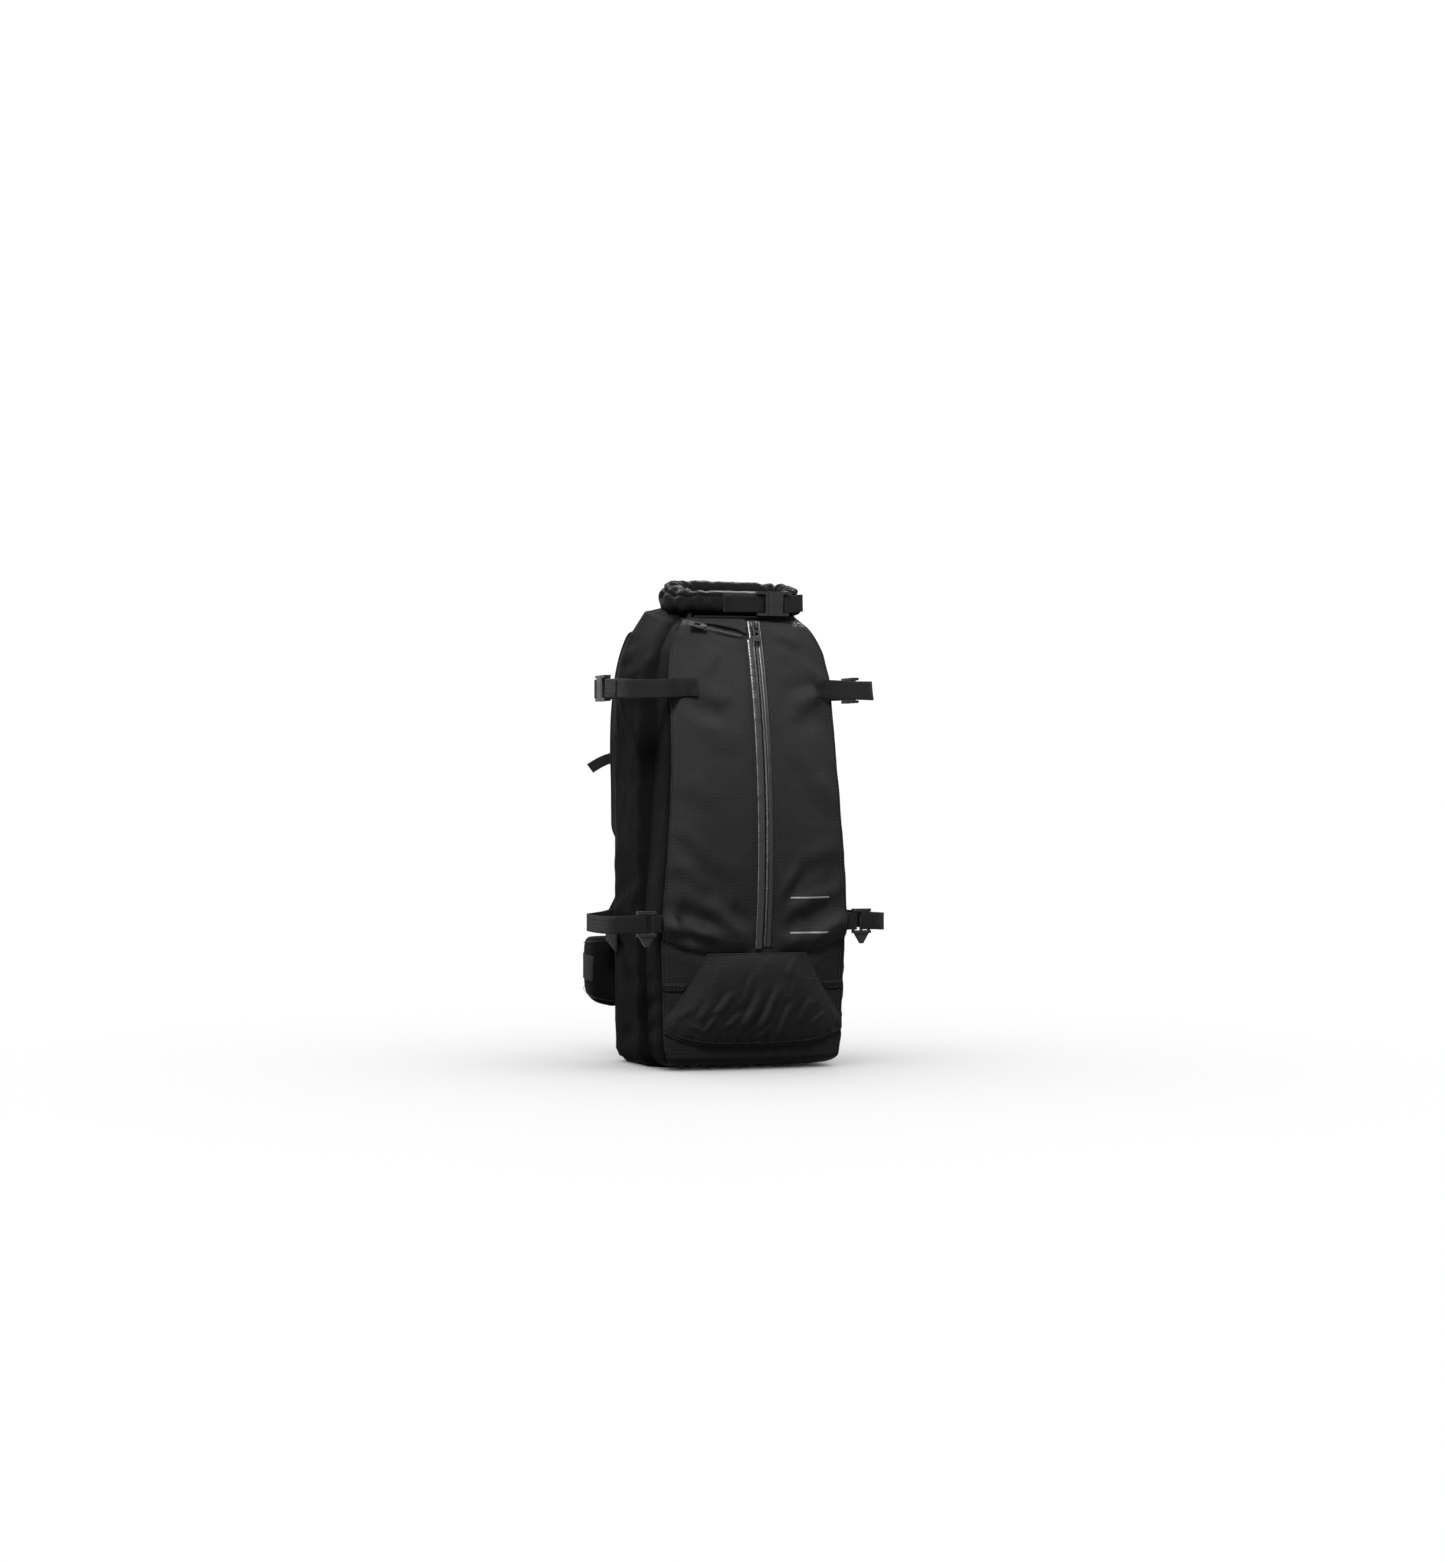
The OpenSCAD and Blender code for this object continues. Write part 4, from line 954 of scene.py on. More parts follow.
def zip_chain():
    zs = np.linspace(ZIP_LOW, ZIP_HIGH, 150)
    lifts = (0.5, 1.0, 1.15, 0.9)
    pile = Pile()
    for x0, x1, mat, profile in ((-8, -1.9, 0, lifts), (1.9, 8, 2, lifts[::-1])):
        tape = [zip_point(x, zs, lift) for x, lift in zip(np.linspace(ZIP_X + x0, ZIP_X + x1, 4), profile)]
        under = [zip_point(ZIP_X + x, zs, 0.1) for x in (x0, x1)]
        pile.add(np.stack([under[0], *tape, under[1]], 1), mat=mat)
    core = 0.95 + 0.18 * np.sin(np.arange(400) * COIL_PITCH + 0.5)
    pile.cord(zip_line(0, ZIP_LOW, ZIP_HIGH, 400, 0.95), core, mat=1)
    for x in (-0.75, 0.75):
        loops = 0.42 + 0.16 * np.cos(np.arange(531) * COIL_PITCH)
        pile.cord(zip_line(x, ZIP_LOW, ZIP_HIGH, 531, 1.25), loops, 6, mat=1)
    pile.make("zip_chain", [LAMINATE, COIL, TAPE], "zip_laminate", "front_zip")


def zip_normals(path):
    return unit((path - vec(0, ZIP_CY, ZIP_CZ)) * vec(0, 1, 1))


def zip_cover():
    """Glossy cover band along the left of the chain, with a rolled free edge"""
    xs = ZIP_X + vec(-11, -10.2, -8.8, -7.0, -5.4, -4.2, -3.7, -4.2, -7, -11)
    plain = vec(1.3, 2.1, 2.45, 2.6, 2.75, 2.8, 2.3, 1.6, 1.35, 1.3)
    loose = vec(0, 0.2, 0.5, 0.8, 0.9, 0.9, 0.6, 0.2, 0, 0) * 0.2
    rows = []
    for z in np.linspace(138, 492, 150):
        wobble = 0.25 * math.sin(z / 23.0) + 0.15 * math.sin(z / 9.1)
        rows.append(zip_point(xs, z, plain + loose * wobble))
    pile = Pile()
    pile.add(np.stack(rows), close_u=True, caps=True)
    path = zip_line(-9.7, 142, 488, 200, 2.3)
    pile.stitches(path, zip_normals(path))
    pile.make("zip_cover", [LAMINATE, THREAD], "zip_laminate", "front_zip_flap")


def zip_trim():
    path = zip_line(10.5, 141, 506, 200, 0.4)
    trim.stitches(path, zip_normals(path))
    trim.cord(zip_line(8.6, 139, 508, 90, 0.35), 0.8, mat=2)


def top_pocket():
    """Welt flap over the short top zip"""
    xs = np.linspace(-62, -3, 60)
    low = smooth_lookup(xs, [[-62, 510], [-40, 508], [-16, 503], [-3, 497]], 4)
    tall = 514.5 - low
    rows = []
    for f, lift in ((0.0, 0.6), (0.0, 2.2), (0.03, 3.0), (0.12, 3.2), (0.5, 3.0), (0.85, 2.6), (1.0, 1.4),
                    (1.0, 0.5)):
        z = low + tall * f
        rows.append(xyz(xs, front_y(xs, z) - lift - 0.25 * np.sin(xs / 7.0) * (0.2 < f < 0.9), z))
    pile = Pile()
    pile.add(np.stack(rows))
    for f in (0.2, 0.82):
        z = low + tall * f
        pile.seam(xyz(xs, front_y(xs, z) - 3.15, z)[2:-2], vec(0, -1, 0.3), r=0.3, length=2.0, gap=1.0)
    pile.make("pocket_welt", [RIPSTOP, THREAD], "ripstop_fabric", "top_pocket_flap")

    pts = np.linspace(vec(-60, 0, 505.5), vec(-8, 0, 494.5), 30)
    pts[:, 1] = front_y(pts[:, 0], pts[:, 2]) - 1.0
    chain = Pile()
    chain.band(pts, (0, 0, 1), 4, 0.9, 0)
    coil = resample(pts + vec(0, -0.5, 0), 0.7)
    chain.cord(coil, 0.6 + 0.15 * np.cos(np.arange(len(coil)) * COIL_PITCH), 6, mat=1)
    chain.make("top_zip_chain", [LAMINATE, COIL], "zip_laminate", "top_zip")


zip_chain()
zip_cover()
zip_trim()
top_pocket()
reflective_bars()


# ---- roll closure

ROLL_HALF, ROLL_FRONT, ROLL_BACK, ROLL_THICK = 70, -46, 28, 13
ROLL_MY = (ROLL_FRONT + ROLL_BACK) / 2
ROLL_WEB_Z = 533


def roll_share(y):
    """0 at the front of the roll and 1 at its back"""
    return (y - ROLL_FRONT) / (ROLL_BACK - ROLL_FRONT)


def roll_tall(y):
    return 27 + 6 * roll_share(y)


def squared(t, power):
    """A cosine or sine made squarer"""
    return np.sign(t) * np.abs(t) ** power


def roll_middle():
    """The line along the middle of the roll"""
    a = np.linspace(0, 2 * np.pi, 721)[:-1]
    y = ROLL_MY + (ROLL_BACK - ROLL_FRONT) / 2 * squared(np.sin(a), 0.7)
    raw = xyz(ROLL_HALF * squared(np.cos(a), 0.7), y, 533.5 + 14 * roll_share(y))
    return relaxed(closed_path(raw, 1.9), 8)


def roll_fabric(path):
    """The rolled mouth: a fat ring whose fabric is wound round, with gathered ears at both sides"""
    _, side, face = frames(path, (0, 0, 1), closed=True)
    side, face = side[:, None], face[:, None]
    a = np.linspace(0, 2 * np.pi, 72, endpoint=False)[None]
    x, y = squared(np.cos(a), 0.85)[..., None], squared(np.sin(a), 0.85)[..., None]
    p = path[:, None] + x * roll_tall(path[:, 1])[:, None, None] / 2 * side + y * ROLL_THICK * face
    ear = share((np.abs(path[:, 0]) - 34) / 30)[:, None]
    s = arc_lengths(path)[:, None]
    stray = 2.6 * noise(xyz(s / 2.2, 14 * x[..., 0], 14 * y[..., 0]), 13, 51)
    gathers = np.sin(s / 2.5 + stray + 1.6 * np.cos(a))
    relief = 1.8 * drape(p, 28, 52) + 1.1 * drape(p, 12, 53) + ear * 1.9 * squared(gathers, 0.8)
    # long folds of the winding, running along the roll
    wind = np.cos(3 * a + 1.3 * noise(p * vec(0.25, 0.25, 1), 20, 54) + 0.4)
    relief += (1 - 0.5 * ear) * 0.9 * wind
    creases = ((4.15, 0.25, 40, 55, 0.13, 2.6), (0.95, 0.3, 46, 57, 0.11, 1.8))
    for at, sway, scale, seed, width, deep in creases:
        turn = np.mod(a - at + sway * noise(p, scale, seed), 2 * np.pi) - np.pi
        relief -= deep * bell(turn, width)
    p += unit(x * side + y * face) * (np.clip(relief, -6, 3.2) - 0.5)[..., None]
    o = grid("roll_fabric", p, [ROLL], close_u=True, close_v=True)
    settle(o, "shell_fabric", "roll_top", body="roll")


def throat():
    """Collar fabric drawn up inside the ring of the roll, pleated towards its middle"""
    half_x = ROLL_HALF - ROLL_THICK - 3.0
    half_y = (ROLL_BACK - ROLL_FRONT) / 2 - ROLL_THICK - 2.0
    a = np.linspace(0, 2 * np.pi, 160, endpoint=False)
    rows = []
    for z, f in ((521, 1.0), (526, 1.0), (530, 0.97), (533, 0.9), (535.5, 0.78), (537, 0.6), (537.6, 0.4),
                 (537.4, 0.2), (537, 0.02)):
        pleat = 1 + 0.035 * np.sin(17 * a + 2 * np.sin(3 * a)) * f
        y = half_y * f * pleat * np.sin(a)
        ripple = 1.1 * np.sin(9 * a + f * 5) * (1 - f) * f * 4
        rows.append(xyz(half_x * f * pleat * np.cos(a), ROLL_MY + y, z + 0.17 * y + ripple))
    o = grid("throat_fabric", np.stack(rows), [ROLL], close_u=True)
    settle(o, "shell_fabric", "throat_cap", body="roll")


def collar(path):
    """Skirt between the bag's rim and the roll"""
    rim = bag_ring(bag_level(512), 0.6, 40)
    turn_rim = np.arctan2(rim[:, 1] - 10, rim[:, 0])
    turn_roll = np.arctan2(path[:, 1] - ROLL_MY, path[:, 0])
    order = np.argsort(turn_roll)
    top = between(turn_rim, turn_roll[order], path[order], period=2 * np.pi)
    top[:, 2] -= roll_tall(top[:, 1]) * 0.30
    rows = []
    for f in np.linspace(0, 1, 22):
        sag = math.sin(f * math.pi)
        p = rim * (1 - f) + top * f + vec(0, 0, -0.8) * (1 - f)
        out = unit((p - vec(0, 5, 0)) * vec(1, 1, 0))
        folds = 0.9 * np.sin(np.arange(len(rim)) / 3.7 + 2.0 * noise(p, 30, 61)) + 1.1 * drape(p, 24, 62)
        rows.append(p + out * (sag * folds - 0.8 * sag)[:, None])
    o = grid("collar_fabric", np.stack(rows), [SMOOTH], close_u=True)
    settle(o, "shell_fabric", "collar", bends=("pack", "roll", (0, -0.046, 0.5122), (0, -0.048, 0.5232)))


def roll_straps():
    y, z = -65.1, ROLL_WEB_Z
    up = (0, 0, 1)
    left, right = Pile(), Pile()
    pts = [[-26, -60.0, z], [-22, -60.6, z], [-10, -62.4, z], [4, y - 0.2, z], [21.5, y, z]]
    left.strap(pts, up, 20, seed=3)
    left.box_tack(vec(-18, -62.2, z), -1, 10, 14)
    left.make("roll_webbing_left", [WEBBING], "webbing", "roll_strap_left",
              bends=("roll", "roll_latch", (-0.014, 0, 0), (0.012, 0, 0)))
    pts = [[46.5, y, z], [52, y, z], [60, -62.5, z + 1], [68, -57.8, z + 2], [73, -52.5, z + 2.5]]
    right.strap(pts, up, 20, seed=4)
    right.make("roll_webbing_right", [WEBBING], "webbing", "roll_strap_right", body="roll")


roll_path = roll_middle()
roll_fabric(roll_path)
throat()
collar(roll_path)
roll_straps()


# ---- ski straps

SKI_Z, LOW_Z = 436, 168
BUCKLE_Y = -4
LOOP_X = 152.5


def upper_ski_strap(side, name, sewn):
    def from_panel(x, lift, dz=0):
        return [x, float(front_y(x, SKI_Z)) - lift, SKI_Z + dz]

    pile = Pile()
    pts = [from_panel(sewn, 2.2), from_panel(-86, 2.4, -1), [-104, -96.5, SKI_Z - 2], [-126, -97, SKI_Z - 3],
           [-143, -89, SKI_Z - 3], [-LOOP_X, -70, SKI_Z - 2], [-LOOP_X, -40, SKI_Z - 1],
           [-LOOP_X, BUCKLE_Y - 5.5, SKI_Z]]
    pile.strap(sided(pts, side), (0, 0.27, 1), 22, seed=5 + side)
    # the folded hem of the adjusting tail lies on the strap's outer face
    tail = [[-154.3, BUCKLE_Y - 13.5, SKI_Z], [-155.2, -28, SKI_Z - 1], [-155.0, -46, SKI_Z - 1],
            [-154.2, -62, SKI_Z - 2]]
    pile.strap(sided(tail, side), (0, 0.05, 1), 21.5, 1.4, seed=9 + side)
    pile.box_tack(sided(from_panel(sewn - 8, 3.3), side), -1, 11, 16)
    pile.make("ski_webbing_upper_" + name, [WEBBING], "webbing", "ski_straps_upper", "ski_strap_ends",
              bends=("pack", "ski_latch_" + name[0], (0, -0.064, 0), (0, -0.022, 0)))


def rear_ski_straps():
    pile = Pile()
    for side in (-1, 1):
        pts = [[-LOOP_X, BUCKLE_Y + 19.5, SKI_Z], [-LOOP_X, 34, SKI_Z], [-146, 48, SKI_Z], [-134, 58, SKI_Z],
               [-BAG_HALF - 0.4, 63, SKI_Z], [-BAG_HALF + 1.5, 66, SKI_Z]]
        pile.strap(sided(pts, side), (0, 0, 1), 22, seed=12 + side)
    pile.make("ski_webbing_rear", [WEBBING], "webbing")


def lower_ski_strap(side, name):
    pts = [[-129, -99.5, LOW_Z], [-143, -99.5, LOW_Z], [-156, -90, 167], [-166, -70, 166], [-167, -20, 165],
           [-164, 26, 165], [-150, 50, 165], [-136, 60, 166], [-BAG_HALF - 1.2, 64, LOW_Z],
           [-BAG_HALF + 1.6, 66.5, LOW_Z]]
    pile = Pile()
    pile.strap(sided(pts, side), (0, 0, 1), 20, seed=14 + side)
    pile.make("ski_webbing_lower_" + name, [WEBBING], "webbing", "ski_straps_lower",
              bends=("pack", "ski_lock_" + name[0], (side * 0.162, 0, 0), (side * 0.143, 0, 0)))


def lower_ski_tabs():
    pile = Pile()
    for side in (-1, 1):
        pts = [[-92, float(front_y(-92, LOW_Z)) - 1.2, LOW_Z], [-98, float(front_y(-98, LOW_Z)) - 2.6, LOW_Z],
               [-108, -99.6, LOW_Z], [-123, -99.5, LOW_Z]]
        pile.strap(sided(pts, side), (0, 0, 1), 20, seed=22 + side)
    pile.make("ski_tab_webbing", [WEBBING], "webbing", "ski_tabs_lower")


for (side, name), sewn in zip(SIDES, (-66, -78)):
    upper_ski_strap(side, name, sewn)
    lower_ski_strap(side, name)
rear_ski_straps()
lower_ski_tabs()


# ---- back panel and pads

BACK_W = [[20, 84], [60, 96], [150, 100], [300, 96], [430, 88], [480, 74], [492, 62]]
BACK_LOW, BACK_HIGH = 20, 492
LUMBAR_HALF = 99
LUMBAR_H = [[0, 54], [40, 50], [94, 42], [99, 35]]
HIP_Z = 104


def back_half(z):
    return float(smooth_lookup(z, BACK_W, 10))


def back_panel():
    rows = []
    for z in np.linspace(BACK_LOW, BACK_HIGH, 170):
        h = back_half(z)
        x = np.linspace(-1, 1, 110) * h
        rim = 1 - math.exp(-min(z - BACK_LOW, BACK_HIGH - z) / 5)
        side = 1 - np.exp(-(h - np.abs(x)) / 4.5)
        channel = 2.2 * bell(x, 15) * rim
        thick = 5.35 + 2.9 * np.minimum(side, rim) - channel - 0.35 * np.abs(drape(xyz(x, 0, z), 40, 71))
        rows.append(xyz(x, 75.4 + thick * np.minimum(1, 0.35 + side), z))
    full = np.pad(np.stack(rows), ((1, 1), (1, 1), (0, 0)), mode="edge")
    full[[0, -1], :, 1] = 75.5
    full[:, [0, -1], 1] = 75.5
    settle(grid("back_mesh", flip(full), [MESH]), "foam_mesh", "back_panel", pad=0.9)
    left = vec(*[(0.5 - back_half(z), 79.4, z) for z in np.linspace(BACK_LOW + 0.5, BACK_HIGH - 0.5, 60)])
    pile = Pile()
    loop = closed_path(np.concatenate([left, sided(left[::-1], 1)]), 4)
    pile.hoop(relaxed(loop, 4), 1.6, across=(0, 1, 0))
    pile.make("back_binding", [BINDING], "webbing")


def cushion(cx, cz, w, h, seed):
    """A rounded foam block on the back panel, quilted by two sewn channels"""
    u, v = np.meshgrid(np.linspace(-1, 1, 60), np.linspace(-1, 1, 90))
    x = cx + u * np.sqrt(1 - 0.13 * v ** 4) * w / 2
    z = v * np.sqrt(1 - 0.13 * u ** 4) * h / 2
    edge = np.minimum(1 - np.abs(u), (1 - np.abs(v)) * h / w)
    dome = (1 - np.exp(-edge * 11)) * (0.9 + 0.1 * (1 - u ** 2) * (1 - v ** 2))
    groove = 0.42 * (bell(z + h / 6, 2.6) + bell(z - h / 6, 2.6)) * share(edge * 8)
    dents = 0.3 * np.abs(drape(xyz(x, 0, cz + z), 22, seed)) * dome
    return flip(xyz(x, 84.2 + 8.3 * np.maximum(dome - groove, 0.02) - dents, cz + z))


def back_pads():
    pile = Pile()
    for side in (-1, 1):
        for low, high in ((190, 316), (326, 452)):
            z = (low + high) / 2
            pile.add(cushion(side * np.interp(z, [190, 452], [50, 46]), z, 63, high - low, 81 + side))
    pile.make("back_pads_mesh", [MESH], "foam_mesh", "back_pads", pad=PAD_FILL)


def lumbar_pad():
    x = np.linspace(-LUMBAR_HALF, LUMBAR_HALF, 120)
    rows = []
    for v in np.linspace(-1, 1, 60):
        z = HIP_Z + v * lookup(np.abs(x), LUMBAR_H)
        edge = np.minimum(1 - np.abs(v), (LUMBAR_HALF + 0.3 - np.abs(x)) / 40)
        dome = 1 - np.exp(-np.maximum(edge, 0) * 11)
        sunk = 2.0 * bell(x, 13) + 0.9 * bell(np.abs(x) - 52, 2.6) + 0.3 * np.abs(drape(xyz(x, 0, z), 24, 91))
        rows.append(xyz(x, 85.2 + (11.6 - sunk) * dome, z))
    p = np.stack(rows)
    settle(grid("lumbar_mesh", flip(p), [MESH]), "foam_mesh", "lumbar_pad", pad=0.9)
    edge = np.concatenate([p[0], p[:, -1], p[-1][::-1], p[::-1][:, 0]])
    pile = Pile()
    pile.hoop(relaxed(resample(edge, 4)[:-1], 3) + vec(0, 0.6, 0), 1.3, across=(0, 1, 0))
    pile.make("lumbar_binding", [BINDING], "webbing")


def sleeve():
    x, z = np.linspace(-95, 95, 60), np.linspace(30, 330, 80)
    p = xyz(x, 63.2, z[:, None])
    p[..., 1] += 0.45 * drape(p, 60, 95)
    pile = Pile()
    pile.add(p)
    pile.add(flip(p + vec(0, 0.7, 0)))
    pile.cord(xyz(x, 63.4, 329.6), 1.2, mat=1)
    pile.make("sleeve_cloth", [LINING, BINDING], "lining", "hydration_sleeve")


back_panel()
back_pads()
lumbar_pad()
sleeve()


# ---- harness

SHOULDER_PTS = [[-56, 90.5, 478], [-57, 98, 494], [-60, 108, 501], [-65, 115, 490], [-74, 118, 460],
                [-80, 119, 420], [-83, 118, 375], [-84, 114, 330], [-86, 108, 290], [-88, 102, 258]]
LOCK = vec(-89, 99, 240)
TAIL_END = vec(-86, 101.9, 180)


def tapered(t, start, end, cut_start, cut_end, power=1):
    """1 along a pad, less by cut_start and cut_end at its two ends"""
    near_end, near_start = share((t - end) / (1 - end)), share((start - t) / start)
    return (1 - cut_end * near_end ** power) * (1 - cut_start * near_start)


def shoulder_strap(side, name):
    across = (side, 0, 0)
    path = resample(catmull(sided(SHOULDER_PTS, side), 12), 4)
    n = len(path)
    t = np.linspace(0, 1, n)
    w = (58 - 10 * t) * tapered(t, 0.03, 0.93, 0.1, 0.28, power=2)
    thick = 11 * tapered(t, 0.04, 0.95, 0.3, 0.35)
    _, _, face = frames(path, across)
    outer = 1 if face[n // 2][1] > 0 else -1
    foam_pad("shoulder_pad_" + name, path, across, w, thick, "pack", "shoulder_strap_" + name, 101 + side,
             outer)
    # webbing that runs down the outer face under the sternum rail, sewn down in places
    lift = outer * face * (thick[:, None] / 2 + 0.35)
    pile = Pile()
    pile.band(resample((path + lift)[int(n * 0.16):int(n * 0.97)], 4), across, 15, 1.1)
    for f in (0.3, 0.45, 0.62, 0.78, 0.92):
        i = int(n * f)
        out = outer * face[i]
        for step in (-1.1, 1.1):
            c = path[i] + lift[i] + out * 0.8 + unit(path[i + 1] - path[i]) * step
            pile.stitches(np.linspace(c - vec(6, 0, 0), c + vec(6, 0, 0), 3), out, length=1.4, gap=0.4)
    pile.make("shoulder_daisy_" + name, [WEBBING, THREAD], "webbing")


def harness_webbing(side, name):
    across = (side, 0, 0)
    low = [LOCK + vec(0, 1.6, -7), [-89.2, 97.6, 225], [-94, 92.5, 209], [-103, 86, 190], [-116, 80.5, 168],
           [-121, 79, 158]]
    tail = [LOCK + vec(0, 4.6, 4), LOCK + vec(0, 5.8, -8), [-88, 103, 210], [-86, 101, 180]]
    hem = [TAIL_END + vec(0, 1.0, 11), TAIL_END + vec(0, 1.1, 5), TAIL_END + vec(0, 0.6, 0)]
    pile = Pile()
    pile.strap(sided(low, side), across, 20, seed=31 + side)
    pile.strap(sided(tail, side), across, 20, seed=33 + side)
    pile.strap(sided(hem, side), across, 20, k=3, step=2)
    pile.make("strap_webbing_mesh_" + name, [WEBBING], "webbing", "strap_webbing_" + name,
              bends=("pack", "strap_lock_" + name[0], (0, 0, 0.200), (0, 0, 0.230)))
    # the tab that holds the lock to the shoulder strap
    tab = [[-88.6, 101.2, 260], [-89, 101.6, 256.4], [-89, 101.9, 252], LOCK + vec(0, 2.6, 8)]
    pile = Pile()
    pile.strap(sided(tab, side), across, 20, seed=35 + side)
    pile.make("strap_tab_" + name, [WEBBING], "webbing")


def anchors():
    """The cloth tabs in the flanks that hold the lower ends of the strap webbing"""
    pile = Pile()
    for side in (-1, 1):
        rows = []
        for dx, grow in ((-0.9, -0.6), (-1.2, 0), (-3.2, 0), (-3.5, -0.6)):
            x = -BAG_HALF + dx
            ring = vec([x, 34 - grow, 128.4 - grow], [x, 34 - grow, 156.3 + grow],
                       [x, 78 + grow, 156.3 + grow], [x, 78 + grow, 142 - grow], [x, 34 - grow, 128.4 - grow])
            rows.append(sided(between(np.linspace(0, 4, 41)[:-1], np.arange(5), ring), side))
        middles = [np.broadcast_to(row.mean(0), row.shape) for row in (rows[0], rows[-1])]
        p = np.stack([middles[0], *rows, middles[1]])
        pile.add(p if side < 0 else flip(p), close_u=True)
        x = side * (BAG_HALF + 3.7)
        outline = vec([x, 37, 132], [x, 37, 153.5], [x, 74, 153.5], [x, 74, 146], [x, 37, 132])
        pile.seam(outline, vec(side, 0, 0))
    pile.make("anchor_tabs", [WEBBING, THREAD], "webbing", "strap_anchors")


def lifters():
    pts = [[-66, 124.2, 478], [-63, 122.6, 496], [-60, 115, 510], [-57, 100, 515], [-54, 84, 516],
           [-52, 75.5, 514], [-51.5, 69, 510]]
    hook = [[-66, 124.6, 477], [-66, 126.2, 470], [-66.5, 127.0, 462], [-67, 124.6, 452]]
    pile = Pile()
    for side in (-1, 1):
        pile.strap(sided(pts, side), (side, 0, 0), 15, 1.4, seed=41 + side)
        pile.strap(sided(hook, side), (side, 0, 0), 14.4, 1.2, seed=43 + side)
    pile.make("lifter_webbing", [WEBBING], "webbing", "load_lifters")


for side, name in SIDES:
    shoulder_strap(side, name)
    harness_webbing(side, name)
anchors()
lifters()


# ---- sternum strap, hip belt and haul loop

WING = [[-106, 91.3, HIP_Z], [-117, 98, HIP_Z], [-128, 111, HIP_Z + 1], [-130, 132, HIP_Z + 2],
        [-126, 158, HIP_Z + 3], [-114, 182, HIP_Z + 3]]
HIP_WEB = [[-113, 184.5, HIP_Z + 3], [-104, 196, HIP_Z + 3], [-91, 207, HIP_Z + 2], [-80, 213.2, HIP_Z + 1],
           [-72, 214.5, HIP_Z + 1], [-62, 214.5, HIP_Z + 1]]
HIP_HINGE = [[x, y, HIP_Z] for x, y in ((-95.5, 90.0), (-99, 90.2), (-103, 91.0), (-107, 92.4), (-110, 94.4))]


def sternum_strap():
    y, z = 129.5, 360
    left, right, tail = Pile(), Pile(), Pile()
    left.strap([[x, y, z] for x in (-75, -50, -26, -11.5)], (0, 0, 1), 15, seed=51)
    left.make("sternum_web_left", [WEBBING], "webbing", "sternum_webbing_left",
              bends=("sternum", "sternum_latch", (-0.07, 0, 0), (-0.022, 0, 0)))
    right.strap([[x, y, z] for x in (13.5, 22, 46, 75)], (0, 0, 1), 15, seed=52)
    right.strap([[20.0, y + 1.7, z], [34, y + 2.2, z], [52, y + 2.0, z]], (0, 0, 1), 14.4, 1.2, seed=53)
    right.make("sternum_web_right", [WEBBING], "webbing", "sternum_webbing_right", body="sternum")
    hanging = [[-89, 129.4, z], [-104, 130, z - 3], [-118, 130, z - 8], [-132, 129, z - 16]]
    tail.strap(hanging, (0, 0.35, 1), 13, 1.5, seed=54)
    tail.make("sternum_tail_web", [WEBBING], "webbing", "sternum_tail", body="sternum")


def hip_wing(side, name):
    up = (0, 0, 1)
    body = "hip_" + name
    path = resample(catmull(sided(WING, side), 12), 3)
    n = len(path)
    t = np.linspace(0, 1, n)
    tall = (84 - 26 * t) * tapered(t, 0.05, 0.93, 0.13, 0.16, power=2)
    thick = 11 * tapered(t, 0.06, 0.95, 0.3, 0.35)
    _, _, face = frames(path, up)
    outer = 1 if face[n // 2][0] * side > 0 else -1
    foam_pad("hip_pad_" + name, path, up, tall, thick, body, "hip_wing_" + name, 121 + side, outer)
    run = path + outer * face * (thick[:, None] / 2 + 0.5)
    pile = Pile()
    pile.band(resample(run[int(n * 0.3):], 3), up, 30, 1.3)
    pile.strap(sided(HIP_WEB, side), up, 30, seed=61 + side)
    pile.make("hip_web_" + name, [WEBBING], "webbing", "hip_webbing_" + name, body=body)
    hinge = Pile()
    hinge.strap(sided(HIP_HINGE, side), up, 66, 3.0, step=1.2, seed=65 + side, rough=0.05)
    hinge.make("hip_hinge_" + name, [SMOOTH], "shell_fabric",
               bends=("pack", body, (side * 0.0985, 0, 0), (side * 0.1065, 0, 0)))


def haul_loop():
    half = [[-22, 86, 500], [-22.5, 86, 516], [-15, 86, 531]]
    pts = half + [[0, 86, 536]] + [[-x, y, z] for x, y, z in half[::-1]]
    path = resample(catmull(pts, 10), 2)
    t = np.linspace(-1, 1, len(path))
    w = 14 + 4 * np.abs(t) ** 3 - 2.5 * bell(t, 0.35)
    _, _, face = frames(path, (0, 1, 0))
    pile = Pile()
    pile.band(path, (0, 1, 0), np.minimum(w, 14.0), 1.5, 0.1, 71)
    pile.band((path + face * 1.6)[10:-10], (0, 1, 0), np.minimum(w, 13.4)[10:-10], 1.4, 0.1, 72)
    pile.make("haul_webbing", [WEBBING], "webbing", "haul_loop", body="haul")


def haul_patch():
    """The patch that holds the haul loop, over the slope behind the bag's rim"""
    z = vec(493.5, 500, 506.8)[:, None]
    x = np.linspace(-1, 1, 30) * (31.6 - 4.5 * (z - 493.5) / 13.3)
    p = xyz(x, 76.1 - 0.25 * np.sin(x / 6), z)
    under = xyz(x, vec(71.7, 70.4, 69.3)[:, None], z)
    patch = Pile()
    patch.add(flip(np.concatenate([under[:1], p, under[-1:]])))
    patch.add(under)
    patch.add(np.stack([under[:, 0], p[:, 0]], 1))
    patch.add(np.stack([p[:, -1], under[:, -1]], 1))
    for x in (-20, 20):
        patch.box_tack(vec(x, 76.5, 500), 1, 12, 9)
    patch.make("haul_patch", [WEBBING], "webbing", "haul_anchor")


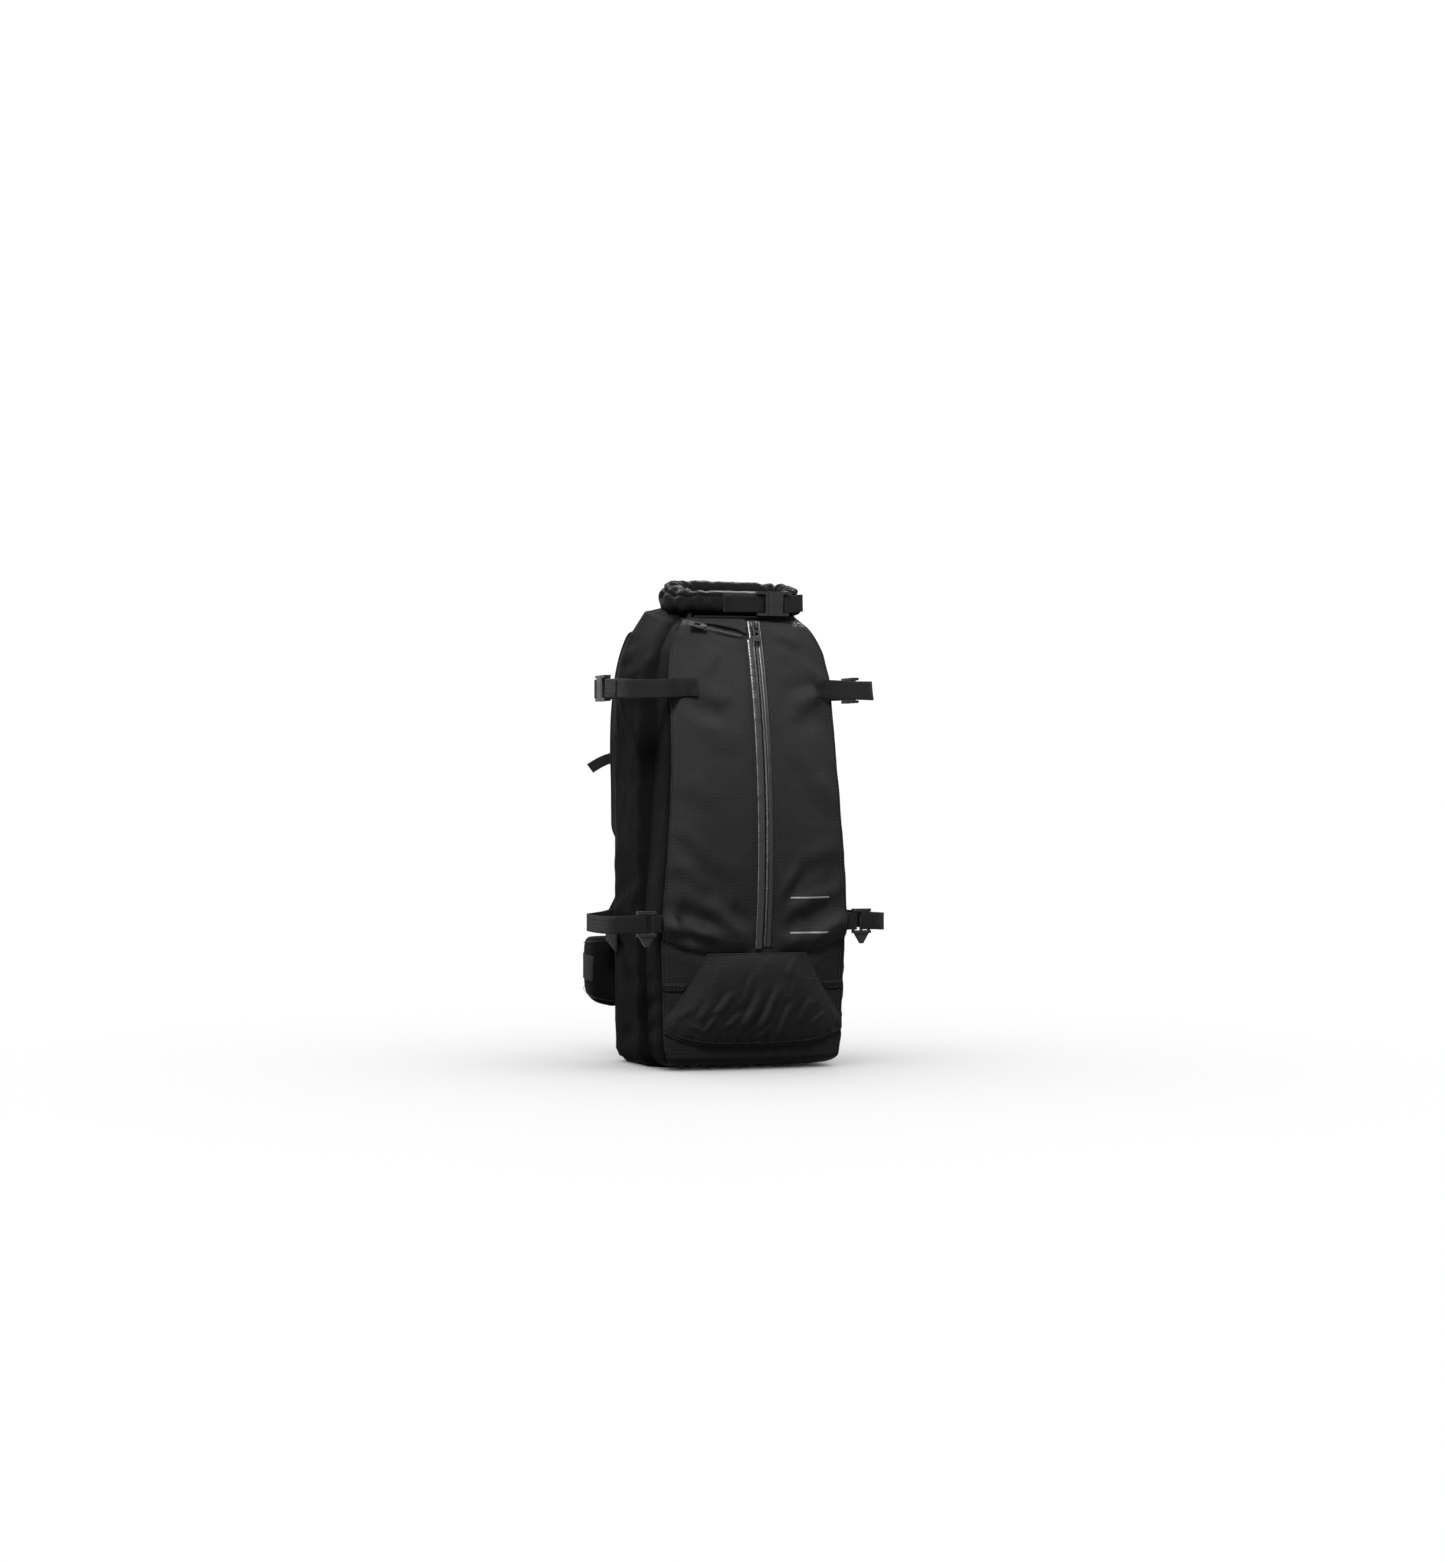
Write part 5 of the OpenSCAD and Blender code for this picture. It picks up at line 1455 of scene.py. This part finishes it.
sternum_strap()
for side, name in SIDES:
    hip_wing(side, name)
haul_loop()
haul_patch()
trim.make("pack_trim", [BINDING, THREAD, RIPSTOP], "webbing")


# ---- CAD nodes that stay

NODE_MATERIALS = (
    (PLASTIC, ("roll_buckle_female", "roll_buckle_male", "ski_buckle_females", "ski_buckle_male_left",
               "ski_buckle_male_right", "ski_lock_left", "ski_lock_right", "lifter_locks", "strap_lock_left",
               "strap_lock_right", "sternum_sliders", "sternum_buckle_female", "sternum_buckle_male",
               "hip_buckle_female", "hip_buckle_male", "front_zip_slider", "front_zip_pull", "top_zip_pull")),
    (SHEET, ("frame_sheet", "roll_stiffener", "sternum_rails")),
    (ALLOY, ("frame_stays",)),
    (GUNMETAL, ("top_zip_slider",)),
)
for material, names in NODE_MATERIALS:
    for name in names:
        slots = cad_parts[name].data.materials
        slots.clear()
        slots.append(material)


# ---- studio, in metres and degrees

VIEW_AZIMUTH, VIEW_DISTANCE, VIEW_SPAN = -18, 3.5, 1.8275
SENSOR = 36
# name, azimuth, height above the floor as an angle, distance, size, watts
LAMPS = (
    ("key", -34, 50, 2.6, 0.7, 260),
    ("left_side", -100, 40, 2.8, 0.9, 9),
    ("right_side", 75, 40, 2.6, 0.8, 60),
    ("back_left", -150, 45, 2.6, 0.9, 150),
    ("back_right", 150, 45, 2.6, 0.9, 150),
)


def placed(name, data, location, turn=None):
    o = bpy.data.objects.new(name, data)
    bpy.context.collection.objects.link(o)
    o.location = location
    if turn:
        o.rotation_mode = "QUATERNION"
        o.rotation_quaternion = turn
    return o


def towards(azimuth, height=0.0):
    """The direction from the pack to a place round it; azimuth 0 is in front"""
    a, e = math.radians(azimuth), math.radians(height)
    return Vector((math.sin(a) * math.cos(e), -math.cos(a) * math.cos(e), math.sin(e)))


def camera():
    away = towards(VIEW_AZIMUTH)
    right = Vector((-away.y, away.x, 0))
    data = bpy.data.cameras.new("camera")
    data.sensor_width = SENSOR
    data.lens = SENSOR * VIEW_DISTANCE / VIEW_SPAN
    data.clip_start, data.clip_end = 0.05, 60
    centre = right * -0.0069 + Vector((0, 0, 0.329))
    turn = (-away).to_track_quat("-Z", "Y")
    bpy.context.scene.camera = placed("camera", data, centre + away * VIEW_DISTANCE, turn)


def paper_floor():
    mesh = bpy.data.meshes.new("floor")
    s = 60.0
    mesh.from_pydata([(-s, -s, 0), (s, -s, 0), (s, s, 0), (-s, s, 0)], [], [(0, 1, 2, 3)])
    white = (0.94, 0.94, 0.94, 1)
    mesh.materials.append(Graph("floor_paper").surface(Base_Color=white, Roughness=0.9, Specular_IOR_Level=0.1))
    floor = placed("floor", mesh, (0, 0, 0))
    return floor


def lamps(floor):
    # they leave the floor out, so that it throws no glare up at the undersides
    unlit = bpy.data.collections.new("lamps_leave_out")
    unlit.objects.link(floor)
    unlit.collection_objects[0].light_linking.link_state = "EXCLUDE"
    for name, azimuth, height, distance, size, watts in LAMPS:
        data = bpy.data.lights.new(name, "AREA")
        data.shape, data.size, data.energy = "DISK", size, watts
        back = towards(azimuth, height)
        lamp = placed(name, data, Vector((0, 0, 0.3)) + back * distance, back.to_track_quat("Z", "Y"))
        lamp.light_linking.receiver_collection = unlit


def white_world():
    scene = bpy.context.scene
    scene.world = scene.world or bpy.data.worlds.new("world")
    scene.world.use_nodes = True
    background = next(n for n in scene.world.node_tree.nodes if n.type == "BACKGROUND")
    background.inputs["Color"].default_value = (1, 1, 1, 1)
    background.inputs["Strength"].default_value = 1.08
    scene.view_settings.view_transform = "Standard"


camera()
lamps(paper_floor())
white_world()
